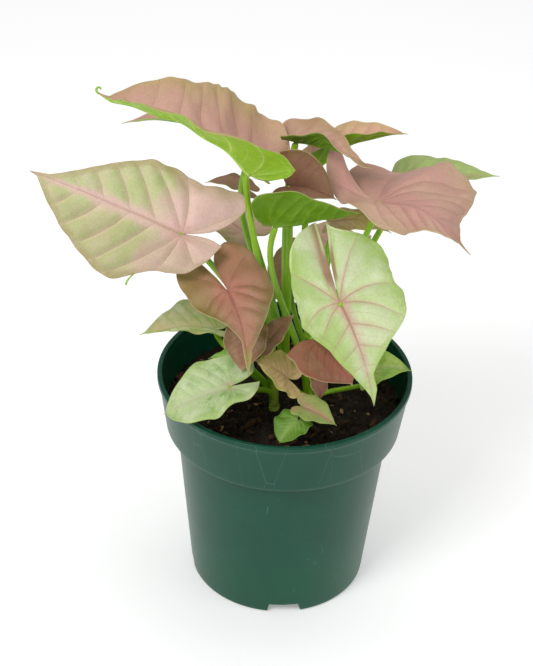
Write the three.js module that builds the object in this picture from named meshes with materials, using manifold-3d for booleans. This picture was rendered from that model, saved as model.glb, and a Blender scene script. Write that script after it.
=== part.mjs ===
// Pink arrowhead plant (Syngonium) in a tapered round plastic nursery pot.
// Millimetres, +Z up. The origin is the middle of the pot's flat underside, and -Y is the plant's front.
import * as THREE from "three";
import { mergeVertices } from "three/addons/utils/BufferGeometryUtils.js";
import Module from "manifold-3d";

const wasm = await Module();
wasm.setup();

// ---------------------------------------------------------------- driving dimensions
const CLEARANCE = 0.3;
// pot
const RIM_RADIUS = 54.0;
const POT_HEIGHT = 102.5;
const BASE_RADIUS = 38.3;
const NECK_RADIUS = 45.6;
const BAND_BOTTOM_RADIUS = 50.3;
const BAND_BOTTOM = 77.2;
const POT_WALL = 1.4;
const FLOOR_THICKNESS = 1.8;
const POT_SEGMENTS = 64;
const NOTCH_COUNT = 4;
const NOTCH_TURN = 5.5;
const NOTCH_WIDTH = 14.0;
const NOTCH_HEIGHT = 4.2;
const NOTCH_DEPTH = 7.0;
// soil
const SOIL_LEVEL = 86.0;
const SOIL_SEGMENTS = 48;
const SOIL_RINGS = 9;
// stems and leaf stalks
const STEM_RADIUS = 2.7;
const STEM_BOTTOM = 70.0;
const STEM_TOP = 91.0;
const STALK_SIDES = 7;
const STALK_STEPS = 8;
// blades
const BLADE_THICKNESS = 0.8;

const COLORS = {
  pot: 0x24483c,
  soil: 0x241812,
  stalk: 0x78b428,
  pink: 0xc49888,
  blush: 0xc8b898,
  green: 0xb4cc8c,
  lime: 0x9cc454,
};

// ---------------------------------------------------------------- small helpers
const rad = THREE.MathUtils.degToRad;
const clamp = (v, lo, hi) => Math.min(hi, Math.max(lo, v));
const vec = (x, y, z) => new THREE.Vector3(x, y, z);

function smooth(t) {
  const c = clamp(t, 0, 1);
  return c * c * (3 - 2 * c);
}

function material(color, roughness) {
  return new THREE.MeshStandardMaterial({ color, roughness, metalness: 0 });
}

function indexed(points, faces) {
  const geometry = new THREE.BufferGeometry();
  const flat = points.flatMap((p) => [p.x, p.y, p.z]);
  geometry.setAttribute("position", new THREE.Float32BufferAttribute(flat, 3));
  geometry.setIndex(faces);
  geometry.computeVertexNormals();
  return geometry;
}

// A closed geometry as a solid for joining and cutting.
function solid(geometry) {
  const bare = geometry.clone();
  bare.deleteAttribute("normal");
  bare.deleteAttribute("uv");
  const merged = mergeVertices(bare, 1e-4);
  const vertProperties = new Float32Array(merged.attributes.position.array);
  const corners = [];
  for (let i = 0; i < merged.index.count; i += 3) {
    const three = [0, 1, 2].map((k) => merged.index.getX(i + k));
    if (new Set(three).size === 3) {
      corners.push(...three);
    }
  }
  const triVerts = new Uint32Array(corners);
  return new wasm.Manifold(new wasm.Mesh({ numProp: 3, vertProperties, triVerts }));
}

function fromSolid(body) {
  const mesh = body.getMesh();
  const geometry = new THREE.BufferGeometry();
  const positions = new Float32Array(mesh.vertProperties);
  geometry.setAttribute("position", new THREE.BufferAttribute(positions, 3));
  geometry.setIndex(new THREE.BufferAttribute(new Uint32Array(mesh.triVerts), 1));
  geometry.computeVertexNormals();
  return geometry;
}

// ---------------------------------------------------------------- leaf blade
// A blade is an arrowhead outline in flat unit coordinates: x runs from the stalk (0) to the tip (1),
// the two lobes run back to x = -lobe, and y is the distance from the midrib. The outline is bent onto
// an arched midrib and each half is folded and curled about it. Angles are in degrees. "left" is the
// left side seen from above when looking towards the tip. lobeLean moves both lobe ends to the left.
const LEAF_DEFAULTS = {
  width: 0.38,
  lobe: 0.38,
  lobeEnd: [0.52, 0.52],
  slit: 0.14,
  sideWidth: [1, 1],
  baseWidth: [0.85, 0.85],
  lobeLength: [1, 1],
  lobeLift: [0, 0],
  lobeRound: [0.5, 0.5],
  lobeLean: 0,
  lobeBend: 0,
  taper: [1.1, 1.1],
  tail: 0.08,
  rise: 4,
  sway: 0,
  skew: 0,
  roll: 0,
  hook: 0,
  foldLeft: [10, 10, 10, 10],
  foldRight: [10, 10, 10, 10],
  curlLeft: [0, 0, 0, 0],
  curlRight: [0, 0, 0, 0],
  wave: [0.6, 2.5, 0],
  color: "pink",
  stalk: [1.6, 1.2],
  bow: [0, 0],
  arrive: [0.5, 0.8],
};

// Half-width profile along the blade, before scaling: widest near a third of the length.
function bladeProfile(leaf, side, t) {
  const base = leaf.baseWidth[side];
  const body = clamp(1 - Math.pow(t / (1 - 0.6 * leaf.tail), 1.9), 0, 1);
  const belly = Math.pow(body, leaf.taper[side]) * (base + (1 - base) * smooth(t / 0.38));
  return Math.max(belly, 0.9 * leaf.tail * clamp((1 - t) / (2 * leaf.tail), 0, 1));
}

function profilePeak(leaf, side) {
  let peak = 0;
  for (let i = 0; i <= 100; i += 1) {
    peak = Math.max(peak, bladeProfile(leaf, side, i / 100));
  }
  return peak;
}

// s runs from -1 (end of the lobe) over 0 (stalk) to 1 (tip). Returns x and the inner and outer y.
function outline(leaf, side, peak, s) {
  if (s >= 0) {
    return [s, 0, (leaf.width * bladeProfile(leaf, side, s)) / peak];
  }
  const k = -s;
  const shoulder = (leaf.width * leaf.baseWidth[side]) / peak;
  const end = leaf.lobeEnd[side];
  const round = Math.pow(clamp(1 - Math.pow(k, 4), 0, 1), leaf.lobeRound[side]);
  const lean = ((side === 0 ? 1 : -1) * leaf.lobeLean * k) / leaf.sideWidth[side];
  const outer = lean + shoulder * (end + (1 - end) * round);
  const inner = lean + shoulder * (end + (leaf.slit * k - end) * round);
  return [-leaf.lobe * leaf.lobeLength[side] * k, inner, outer];
}

// Value of a list [lobe end, stalk, x = 0.4, tip] at x.
function along(list, leaf, x) {
  const [lobeEnd, base, middle, tip] = list;
  if (x < 0) {
    return base + (lobeEnd - base) * smooth(-x / leaf.lobe);
  }
  if (x < 0.4) {
    return base + (middle - base) * smooth(x / 0.4);
  }
  return middle + (tip - middle) * smooth((x - 0.4) / 0.6);
}

// Position and frame (tangent, side to the left, normal) of the midrib at x.
function midrib(leaf, x) {
  const base = vec(...leaf.base);
  const chord = vec(...leaf.tip).sub(base);
  const length = chord.length();
  const forward = chord.clone().normalize();
  const level = vec(0, 0, 1).cross(forward).normalize();
  const up = forward.clone().cross(level);
  const c = Math.cos(rad(leaf.roll));
  const s = Math.sin(rad(leaf.roll));
  const left0 = level.clone().multiplyScalar(c).addScaledVector(up, s);
  const up0 = level.clone().multiplyScalar(-s).addScaledVector(up, c);
  const q = clamp(x, 0, 1);
  const lean = 1 + leaf.skew * (2 * q - 1);
  const bump = 4 * q * (1 - q) * lean;
  const bumpSlope = 4 * (1 - 2 * q) * lean + 8 * leaf.skew * q * (1 - q);
  const end = clamp((q - 0.86) / 0.14, 0, 1);
  const tangent = forward.clone().multiplyScalar(length);
  tangent.addScaledVector(up0, leaf.rise * bumpSlope + (leaf.hook * 2 * end) / 0.14);
  tangent.addScaledVector(left0, leaf.sway * bumpSlope);
  tangent.normalize();
  const left = tangent.clone().cross(left0).cross(tangent).normalize();
  const normal = tangent.clone().cross(left);
  const point = base.clone().addScaledVector(forward, length * q);
  point.addScaledVector(up0, leaf.rise * bump + leaf.hook * end * end);
  point.addScaledVector(left0, leaf.sway * bump);
  const back = Math.min(x, 0);
  const bend = (Math.tan(rad(leaf.lobeBend)) * back) / leaf.lobe;
  point.addScaledVector(tangent, back * length);
  point.addScaledVector(normal, bend * back * length);
  const turned = tangent.clone().addScaledVector(normal, 2 * bend).normalize();
  return { point, left, normal: turned.cross(left), length };
}

// A point of the bent blade with its surface normal. side 0 is left, 1 is right.
function bladePoint(leaf, side, x, y) {
  const { point, left, normal, length } = midrib(leaf, x);
  const sign = side === 0 ? 1 : -1;
  const u = y / leaf.width;
  const fold = rad(along(side === 0 ? leaf.foldLeft : leaf.foldRight, leaf, x));
  const bent = rad(along(side === 0 ? leaf.curlLeft : leaf.curlRight, leaf, x));
  const curl = Math.abs(bent) < 1e-3 ? 1e-3 : bent;
  const reach = leaf.width * length * leaf.sideWidth[side];
  const out = (reach * (Math.sin(fold + curl * u) - Math.sin(fold))) / curl;
  const [height, count, phase] = leaf.wave;
  const turn = 2 * Math.PI * (count * x + phase + 0.23 * side);
  const ripple = height * Math.sin(turn) * clamp(u, 0, 1) ** 2 * clamp((1 - x) * 4, 0, 1);
  const back = Math.min(x, 0);
  const lift = (Math.tan(rad(leaf.lobeLift[side])) * back * back * length) / leaf.lobe;
  const rise = (reach * (Math.cos(fold) - Math.cos(fold + curl * u))) / curl + ripple + lift;
  const lean = (fold + curl * u) * smooth((u * leaf.width * length) / 2);
  const facing = normal.clone().multiplyScalar(Math.cos(lean));
  facing.addScaledVector(left, -sign * Math.sin(lean));
  const place = point.addScaledVector(left, sign * out).addScaledVector(normal, rise);
  return { place, facing };
}

// The blade as a closed thin solid: one upper and one lower skin with the same triangles, and a rim.
function bladeGeometry(leaf) {
  const large = vec(...leaf.tip).distanceTo(vec(...leaf.base)) > 25;
  const bladeSteps = large ? 9 : 6;
  const lobeSteps = large ? 5 : 3;
  const across = large ? 3 : 2;
  const spots = [];
  const spot = (side, x, y) => {
    spots.push(bladePoint(leaf, side, x, y));
    return spots.length - 1;
  };
  const rib = [];
  const station = (j) => 1 - Math.pow(1 - j / bladeSteps, 1.35);
  for (let j = 0; j <= bladeSteps; j += 1) {
    rib.push(spot(0, station(j), 0));
  }
  const skin = [];
  const rimSides = [];
  for (const side of [0, 1]) {
    const peak = profilePeak(leaf, side);
    const quad = (a, b, c, d) => {
      const order = side === 0 ? [a, b, c, a, c, d] : [a, c, b, a, d, c];
      skin.push(order);
    };
    const triangle = (a, b, c) => skin.push(side === 0 ? [a, b, c] : [a, c, b]);
    const rows = [];
    for (let j = 0; j < bladeSteps; j += 1) {
      const [x, , outer] = outline(leaf, side, peak, station(j));
      const row = [rib[j]];
      for (let k = 1; k <= across; k += 1) {
        row.push(spot(side, x, (outer * k) / across));
      }
      rows.push(row);
    }
    for (let j = 0; j < bladeSteps - 1; j += 1) {
      for (let k = 0; k < across; k += 1) {
        quad(rows[j][k], rows[j + 1][k], rows[j + 1][k + 1], rows[j][k + 1]);
      }
    }
    for (let k = 0; k < across; k += 1) {
      triangle(rows[bladeSteps - 1][k], rib[bladeSteps], rows[bladeSteps - 1][k + 1]);
    }
    const lobes = [rows[0]];
    for (let j = 1; j < lobeSteps; j += 1) {
      const [x, inner, outer] = outline(leaf, side, peak, -Math.sin((Math.PI / 2) * (j / lobeSteps)));
      const row = [];
      for (let k = 0; k <= across; k += 1) {
        row.push(spot(side, x, inner + ((outer - inner) * k) / across));
      }
      lobes.push(row);
    }
    for (let j = 0; j < lobeSteps - 1; j += 1) {
      for (let k = 0; k < across; k += 1) {
        quad(lobes[j + 1][k], lobes[j][k], lobes[j][k + 1], lobes[j + 1][k + 1]);
      }
    }
    const [endX, endY] = outline(leaf, side, peak, -1);
    const end = spot(side, endX, endY);
    for (let k = 0; k < across; k += 1) {
      triangle(end, lobes[lobeSteps - 1][k], lobes[lobeSteps - 1][k + 1]);
    }
    const outerEdge = rows.map((row) => row[across]).reverse();
    const lobeOuter = lobes.slice(1).map((row) => row[across]);
    const lobeInner = lobes.slice(1).map((row) => row[0]).reverse();
    rimSides.push([...outerEdge, ...lobeOuter, end, ...lobeInner]);
  }
  const rim = [rib[bladeSteps], ...rimSides[0], rib[0], ...rimSides[1].reverse()];
  const count = spots.length;
  const half = BLADE_THICKNESS / 2;
  const upper = spots.map(({ place, facing }) => place.clone().addScaledVector(facing, half));
  const lower = spots.map(({ place, facing }) => place.clone().addScaledVector(facing, -half));
  const faces = [];
  for (const list of skin) {
    for (let i = 0; i < list.length; i += 3) {
      const [a, b, c] = [list[i], list[i + 1], list[i + 2]];
      faces.push(a, b, c, a + count, c + count, b + count);
    }
  }
  for (let i = 0; i < rim.length; i += 1) {
    const a = rim[i];
    const b = rim[(i + 1) % rim.length];
    faces.push(a, a + count, b, b, a + count, b + count);
  }
  return indexed([...upper, ...lower], faces);
}

// ---------------------------------------------------------------- stems and leaf stalks
// A closed round tube through the given points, its radius running from first to last.
function tubeGeometry(path, first, last, sides) {
  const points = [];
  const faces = [];
  let side = vec(1, 0, 0);
  path.forEach((p, i) => {
    const ahead = path[Math.min(i + 1, path.length - 1)];
    const behind = path[Math.max(i - 1, 0)];
    const along3 = ahead.clone().sub(behind).normalize();
    side = side.clone().addScaledVector(along3, -side.dot(along3)).normalize();
    const third = along3.clone().cross(side);
    const radius = first + ((last - first) * i) / (path.length - 1);
    for (let k = 0; k < sides; k += 1) {
      const angle = (2 * Math.PI * k) / sides;
      const around = side.clone().multiplyScalar(radius * Math.cos(angle));
      points.push(p.clone().add(around).addScaledVector(third, radius * Math.sin(angle)));
    }
  });
  for (let i = 0; i < path.length - 1; i += 1) {
    for (let k = 0; k < sides; k += 1) {
      const a = i * sides + k;
      const b = i * sides + ((k + 1) % sides);
      faces.push(a, b, b + sides, a, b + sides, a + sides);
    }
  }
  const start = points.push(path[0].clone()) - 1;
  const end = points.push(path[path.length - 1].clone()) - 1;
  const lastRing = (path.length - 1) * sides;
  for (let k = 0; k < sides; k += 1) {
    const next = (k + 1) % sides;
    faces.push(start, next, k, end, lastRing + k, lastRing + next);
  }
  return indexed(points, faces);
}

// The line of a leaf's stalk, from inside its stem to just under the blade.
function stalkPath(leaf, stem) {
  const { point, left, normal } = midrib(leaf, 0);
  const forward = left.clone().cross(normal);
  const arrive = forward.clone().multiplyScalar(leaf.arrive[0]);
  arrive.addScaledVector(normal, leaf.arrive[1]).normalize();
  const tilt = Math.sqrt(Math.max(0, 1 - arrive.dot(normal) ** 2));
  const drop = BLADE_THICKNESS / 2 + CLEARANCE + leaf.stalk[1] * tilt + 0.05;
  const finish = point.clone().addScaledVector(normal, -drop);
  const begin = vec(stem.at[0], stem.at[1], stem.top - 3 - (leaf.lower ?? 0));
  const reach = begin.distanceTo(finish);
  const leave = begin.clone().add(vec(leaf.bow[0], leaf.bow[1], 0.42 * reach));
  const come = finish.clone().addScaledVector(arrive, -0.3 * reach);
  return new THREE.CubicBezierCurve3(begin, leave, come, finish).getPoints(STALK_STEPS);
}

function stemGeometry(stem, leaves) {
  const path = [];
  for (let i = 0; i <= 3; i += 1) {
    path.push(vec(stem.at[0], stem.at[1], STEM_BOTTOM + ((stem.top - STEM_BOTTOM) * i) / 3));
  }
  let body = solid(tubeGeometry(path, STEM_RADIUS, STEM_RADIUS * 0.8, 10));
  for (const leaf of leaves) {
    const [first, last] = leaf.stalk;
    body = body.add(solid(tubeGeometry(stalkPath(leaf, stem), first, last, STALK_SIDES)));
  }
  return fromSolid(body);
}

// ---------------------------------------------------------------- pot
function potGeometry() {
  const wall = POT_WALL;
  const profile = [
    [0, 0],
    [BASE_RADIUS - 1.4, 0],
    [BASE_RADIUS, 1.6],
    [NECK_RADIUS, BAND_BOTTOM - 0.6],
    [BAND_BOTTOM_RADIUS - 0.9, BAND_BOTTOM],
    [BAND_BOTTOM_RADIUS, BAND_BOTTOM + 1.2],
    [RIM_RADIUS - 0.9, POT_HEIGHT - 2.6],
    [RIM_RADIUS, POT_HEIGHT - 1.9],
    [RIM_RADIUS, POT_HEIGHT - 0.7],
    [RIM_RADIUS - 0.6, POT_HEIGHT],
    [RIM_RADIUS - 1.6, POT_HEIGHT],
    [RIM_RADIUS - 2.3, POT_HEIGHT - 0.8],
    [BAND_BOTTOM_RADIUS - wall, BAND_BOTTOM + 1.6],
    [NECK_RADIUS - wall, BAND_BOTTOM - 1.4],
    [BASE_RADIUS - wall, FLOOR_THICKNESS + 0.8],
    [BASE_RADIUS - wall - 0.8, FLOOR_THICKNESS],
    [0, FLOOR_THICKNESS],
  ];
  const points = profile.map(([r, z]) => new THREE.Vector2(r, z));
  const turned = new THREE.LatheGeometry(points, POT_SEGMENTS);
  turned.rotateX(Math.PI / 2);
  let body = solid(turned);
  for (let i = 0; i < NOTCH_COUNT; i += 1) {
    const notch = new THREE.BoxGeometry(NOTCH_WIDTH, 2 * NOTCH_DEPTH, 2 * NOTCH_HEIGHT);
    notch.translate(0, -BASE_RADIUS, 0);
    notch.rotateZ((2 * Math.PI * i) / NOTCH_COUNT + rad(NOTCH_TURN));
    body = body.subtract(solid(notch));
  }
  return fromSolid(body);
}

// ---------------------------------------------------------------- soil
// Height of the crumbly soil top at a place: low mounds and small clods.
function soilHeight(x, y) {
  const mounds = 1.1 * Math.sin(0.11 * x + 1.3) * Math.cos(0.13 * y - 0.4);
  const clods = 0.7 * Math.sin(0.61 * x + 0.5 * y) * Math.sin(0.57 * y - 0.33 * x + 1.1);
  const crown = 2.2 * Math.exp(-(x * x + y * y) / 500);
  return SOIL_LEVEL + mounds + clods + crown;
}

function soilGeometry(stems) {
  const points = [];
  const faces = [];
  const innerRadius = (z) => {
    const low = BASE_RADIUS - POT_WALL;
    const neck = NECK_RADIUS - POT_WALL;
    if (z <= BAND_BOTTOM - 1.4) {
      return low + ((neck - low) * (z - 2.6)) / (BAND_BOTTOM - 4);
    }
    return neck;
  };
  const gap = 2 * CLEARANCE;
  const edge = BAND_BOTTOM_RADIUS - POT_WALL + 0.2;
  points.push(vec(0, 0, soilHeight(0, 0)));
  for (let i = 1; i <= SOIL_RINGS; i += 1) {
    const r = (edge * i) / SOIL_RINGS;
    for (let k = 0; k < SOIL_SEGMENTS; k += 1) {
      const a = (2 * Math.PI * (k + 0.5 * (i % 2))) / SOIL_SEGMENTS;
      const x = r * Math.cos(a);
      const y = r * Math.sin(a);
      points.push(vec(x, y, soilHeight(x, y)));
    }
  }
  const rings = [
    [edge - 0.7, BAND_BOTTOM + 3.4],
    [innerRadius(BAND_BOTTOM) - gap - 0.3, BAND_BOTTOM - 1.0],
    [innerRadius(3) - gap - 0.3, FLOOR_THICKNESS + 1.4],
  ];
  for (const [r, z] of rings) {
    for (let k = 0; k < SOIL_SEGMENTS; k += 1) {
      const a = (2 * Math.PI * (k + 0.5)) / SOIL_SEGMENTS;
      points.push(vec(r * Math.cos(a), r * Math.sin(a), z));
    }
  }
  const bottom = points.push(vec(0, 0, FLOOR_THICKNESS + 1.4)) - 1;
  const at = (ring, k) => 1 + ring * SOIL_SEGMENTS + ((k + SOIL_SEGMENTS) % SOIL_SEGMENTS);
  const total = SOIL_RINGS + rings.length;
  for (let k = 0; k < SOIL_SEGMENTS; k += 1) {
    faces.push(0, at(0, k), at(0, k + 1));
    faces.push(bottom, at(total - 1, k + 1), at(total - 1, k));
  }
  for (let ring = 0; ring < total - 1; ring += 1) {
    const inTop = ring < SOIL_RINGS - 1;
    for (let k = 0; k < SOIL_SEGMENTS; k += 1) {
      const a = at(ring, k);
      const b = at(ring, k + 1);
      const c = at(ring + 1, k + 1);
      const d = at(ring + 1, k);
      if (inTop && ring % 2 === 1) {
        faces.push(a, d, b, b, d, c);
      } else {
        faces.push(a, d, c, a, c, b);
      }
    }
  }
  let body = solid(indexed(points, faces));
  for (const stem of Object.values(stems)) {
    const path = [];
    for (let i = 0; i <= 1; i += 1) {
      path.push(vec(stem.at[0], stem.at[1], STEM_BOTTOM - CLEARANCE + i * 30));
    }
    const wide = STEM_RADIUS + 2 * CLEARANCE;
    body = body.subtract(solid(tubeGeometry(path, wide, wide, 12)));
  }
  return fromSolid(body);
}

// ---------------------------------------------------------------- the plant
const STEMS = {
  left: { name: "shoot_left", at: [-4, -7], top: STEM_TOP },
  front: { name: "shoot_front", at: [10, -9], top: STEM_TOP + 2 },
  back: { name: "shoot_back", at: [0, 7], top: STEM_TOP + 4 },
  right: { name: "shoot_right", at: [13, 5], top: STEM_TOP },
};

// Every leaf: its stem, the place of its stalk joint and of its tip, and how its blade is shaped.
const LEAVES = [
  {
    name: "leaf_top_left", stem: "left", base: [-17, -11, 202], tip: [-78, -1, 228], width: 0.34,
    lobe: 0.38, lobeBend: 30, rise: 11.5, sway: 8, skew: -0.24, hook: 3, tail: 0.12,
    taper: [1, 0.85], sideWidth: [1, 1.55], baseWidth: [0.75, 0.9], lobeEnd: [0.74, 0.36],
    lobeLength: [0.3, 0.7], foldLeft: [58, 78, 40, 45], foldRight: [18, -6, 4, 28],
    curlLeft: [0, -8, -10, -38], curlRight: [0, 16, 6, 15], wave: [0.8, 4.5, 0.1], bow: [0, -5],
    arrive: [1, 0.5], lobeRound: [0.7, 0.5],
  },
  {
    name: "leaf_top_left_lower", stem: "back", base: [-18, 19, 189], tip: [-70, 28, 202],
    width: 0.3, lobe: 0.18, lobeBend: 5, rise: 10, sideWidth: [0.85, 1], foldLeft: [40, 55, 44, 20],
    foldRight: [20, 14, 12, 10], slit: 0.3,
  },
  {
    name: "leaf_left_broad", stem: "left", base: [-43, -12, 175], tip: [-105, 6, 191],
    color: "blush", width: 0.38, lobe: 0.36, rise: 3, roll: -44, slit: 0.1, taper: [0.97, 1.53],
    wave: [0.7, 3.5, 0.2], sideWidth: [1.11, 0.91], baseWidth: [0.53, 0.77], lobeEnd: [0.3, 0.66],
    lobeLength: [0.68, 0.82], lobeLift: [20, 0], foldLeft: [10, 6, 6, 6],
    foldRight: [14, 10, 10, 10], curlLeft: [-20, -20, -10, 0], curlRight: [-10, -20, -10, 0],
    lobeRound: [1.2, 0.8], lobeLean: -0.1,
  },
  {
    name: "leaf_front_left", stem: "left", base: [-24, -24.5, 157], tip: [-15, -42.5, 129],
    width: 0.52, lobe: 0.56, rise: 6, sway: 2, roll: 20, tail: 0.117, wave: [0.6, 3.1, 0.4],
    sideWidth: [1.01, 0.84], lobeEnd: [0.61, 0.36], lobeLength: [1.12, 0.98],
    foldLeft: [20, 14, 17, 20], foldRight: [20, 14, 17, 20], curlLeft: [-40, -40, -20, 0],
    curlRight: [-40, -40, -20, 0], taper: [2.4, 4], baseWidth: [0.99, 1.2], lobeRound: [0.54, 0.3],
    lobeLean: -0.105, slit: 0.09,
  },
  {
    name: "leaf_rim_left", stem: "left", base: [-29, 0, 122], tip: [-61, -6, 122], color: "green",
    width: 0.42, lobe: 0.2, lobeBend: 12, rise: 3, roll: -6, sideWidth: [0.35, 1.15],
    stalk: [1.5, 1.0],
  },
  {
    name: "leaf_low_left", stem: "left", base: [-22, -30, 115], tip: [-49, -36, 104],
    color: "green", width: 0.44, lobe: 0.4, rise: 2, roll: -20, sideWidth: [1.05, 1.1],
    taper: [0.5, 0.8], lobeEnd: [0.15, 0.5], foldLeft: [8, 6, 6, 6], stalk: [1.5, 1.0],
    lobeRound: [1, 0.5], baseWidth: [0.6, 0.85],
  },
  {
    name: "leaf_front_right", stem: "front", base: [20, -32, 158], tip: [35, -50, 122],
    color: "green", width: 0.56, lobe: 0.72, rise: 3, sway: 2, roll: 38, slit: 0.03,
    taper: [3.3, 1.29], sideWidth: [1, 0.72], baseWidth: [0.71, 1.19], lobeEnd: [0.12, 0.05],
    lobeLength: [1.06, 1.08], foldLeft: [4, 4, 9, 14], foldRight: [8, 6, 9, 14],
    curlLeft: [-30, -20, -10, 0], curlRight: [-30, -20, -10, 0], wave: [0.7, 3.2, 0.3],
    lobeRound: [2.65, 0.36], lobeLean: 0.17,
  },
  {
    name: "leaf_right_broad", stem: "front", base: [34, -4.5, 189], tip: [68, -35, 182],
    width: 0.64, lobe: 0.56, lobeBend: 12, rise: 9.5, sway: -3.4, skew: 0.42, roll: -6, hook: 2,
    tail: 0.18, taper: [0.78, 0.66], sideWidth: [1.3, 0.46], baseWidth: [0.88, 0.88],
    lobeEnd: [0.5, 0.2], lobeLift: [0, 34], foldLeft: [5, 15, -2, -27],
    foldRight: [14, 14, -28, 15], curlLeft: [-27, -10, -6, -20], curlRight: [-48, -22, -33, 15],
    wave: [0.9, 2.7, 0.1], slit: 0.03, lobeLength: [1.15, 1],
  },
  {
    name: "leaf_top_center", stem: "back", base: [0, 12, 205], tip: [30, -12, 207], width: 0.46,
    lobe: 0.35, rise: 3, tail: 0.04, sideWidth: [0.74, 0.4], taper: [2, 0.6],
    lobeLength: [0.85, 0.2], foldLeft: [34, 24, 12, 10], foldRight: [0, 36, 62, 0],
  },
  {
    name: "leaf_top_right", stem: "right", base: [10, 20.5, 190], tip: [46, 24, 204], width: 0.38,
    lobe: 0.15, rise: 4.5, sideWidth: [1, 0.7], taper: [0.8, 0.8], foldLeft: [20, 14, 12, 10],
    foldRight: [54, 60, 52, 30], arrive: [0.9, 0.3],
  },
  {
    name: "leaf_right_back", stem: "right", base: [46, 41, 173], tip: [85.5, 30, 183],
    color: "green", width: 0.32, lobe: 0.12, rise: 1, foldLeft: [20, 24, 15, 10],
    foldRight: [30, 20, 15, 10],
  },
  {
    name: "leaf_center", stem: "back", base: [-2.2, -2.5, 193], tip: [17.5, -9, 191], width: 0.4,
    lobe: 0.34, rise: 3, lobeLength: [0.2, 0.8], foldLeft: [50, 50, 36, 20], roll: 32,
    sideWidth: [1.75, 0.76],
  },
  {
    name: "leaf_center_under", stem: "front", base: [-7, -5.4, 176], tip: [27.5, -8.4, 185.5],
    width: 0.62, lobe: 0.14, rise: 0, sideWidth: [0.25, 1], foldRight: [60, 66, 64, 50],
  },
  {
    name: "leaf_back_left_small", stem: "back", base: [-18.5, 28, 174], tip: [-36, 30, 175],
    width: 0.36, lobe: 0.3, rise: 2, stalk: [1.3, 0.9],
  },
  {
    name: "leaf_right_under", stem: "right", base: [17, 10, 170], tip: [41, 6, 168], width: 0.4,
    lobe: 0.15, rise: 3, foldLeft: [4, 4, 4, 4], foldRight: [4, 4, 4, 4],
  },
  {
    name: "leaf_low_olive", stem: "front", base: [0.5, -21, 114], tip: [-13, -23, 123.5],
    width: 0.62, lobe: 0.42, lobeBend: 12, rise: 1, roll: -20, stalk: [1.1, 0.8],
  },
  {
    name: "leaf_low_red", stem: "front", base: [13, -28, 137], tip: [27, -37, 122], width: 0.75,
    lobe: 0.2, rise: 2, stalk: [1.2, 0.9], roll: 20,
  },
  {
    name: "leaf_low_bud", stem: "front", base: [13.3, -25, 116.2], tip: [14.5, -28, 108.3],
    width: 0.45, lobe: 0.2, rise: 1, stalk: [0.9, 0.7],
  },
  {
    name: "leaf_low_front", stem: "front", base: [8, -34.5, 109], tip: [21.5, -39, 103.5],
    color: "green", width: 0.46, lobe: 0.28, rise: 1, roll: 10, bow: [5, 0], stalk: [1.1, 0.8],
  },
  {
    name: "leaf_round_front", stem: "front", base: [5.5, -35, 102.5], tip: [-1.5, -43, 96.5],
    color: "lime", width: 0.66, lobe: 0.2, rise: 1, taper: [0.7, 0.7], bow: [-4, 0],
    stalk: [1.1, 0.8],
  },
  {
    name: "leaf_rim_right", stem: "front", base: [33.5, -8, 106.5], tip: [53, -8, 110],
    color: "green", width: 0.54, lobe: 0.12, lobeBend: 32, roll: 8, stalk: [1.2, 0.9],
  },
  {
    name: "leaf_inner_small", stem: "left", base: [-7, -20, 132], tip: [3, -16, 142],
    width: 0.34, lobe: 0.5, rise: 1, roll: 30, stalk: [1.1, 0.8],
  },
  {
    name: "leaf_inner_right", stem: "front", base: [11, -14, 130], tip: [5, -18, 141.5], width: 0.5,
    lobe: 0.3, rise: 1, roll: 20, stalk: [1.1, 0.8],
  },
  {
    name: "leaf_inner_left", stem: "left", base: [-16, -19, 134], tip: [-18, -26, 119], width: 0.55,
    lobe: 0.3, rise: 1, stalk: [1.1, 0.8],
  },
  {
    name: "leaflet_left", stem: "left", base: [-19, -12, 117], tip: [-32, -14, 117], color: "lime",
    width: 0.34, lobe: 0.2, rise: 1, stalk: [1.0, 0.8],
  },
  {
    name: "leaf_inner_back", stem: "right", base: [1, 22, 143], tip: [-5, 18, 126],
    width: 0.5, lobe: 0.5, rise: 2, stalk: [1.1, 0.8],
  },
  {
    name: "leaf_back_right", stem: "right", base: [18, 38, 142], tip: [34, 62, 130],
    width: 0.42, lobe: 0.3, lobeLength: [1, 0.8], rise: 5,
  },
  {
    name: "leaf_back_left", stem: "back", base: [-20, 34, 150], tip: [-44, 52, 143],
    width: 0.42, lobe: 0.3, lobeBend: 12, rise: 5,
  },
  {
    name: "leaf_back_low", stem: "right", base: [2, 34, 123], tip: [5, 59, 111], color: "green",
    width: 0.44, lobe: 0.4, rise: 4, stalk: [1.5, 1.0],
  },
];

const plant = new THREE.Group();

function addPart(name, geometry, color, roughness) {
  const mesh = new THREE.Mesh(geometry, material(color, roughness));
  mesh.name = name;
  plant.add(mesh);
}

addPart("pot", potGeometry(), COLORS.pot, 0.35);
addPart("soil", soilGeometry(STEMS), COLORS.soil, 0.95);
const leaves = LEAVES.map((leaf) => ({ ...LEAF_DEFAULTS, ...leaf }));
for (const [key, stem] of Object.entries(STEMS)) {
  const own = leaves.filter((leaf) => leaf.stem === key);
  addPart(stem.name, stemGeometry(stem, own), COLORS.stalk, 0.5);
}
for (const leaf of leaves) {
  addPart(leaf.name, bladeGeometry(leaf), COLORS[leaf.color], 0.55);
}

export default plant;
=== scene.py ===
"""Pink arrowhead plant (Syngonium) in a green nursery pot: fine pieces and finishes around the frame.

Tables are in millimetres, with the pot's underside at z = 0 and the plant's front towards -Y.
Every surface is a formula on a grid; mesh coordinates are millimetres times MM.
"""
import math

import bpy
import numpy as np
from mathutils import Matrix, Vector


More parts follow.
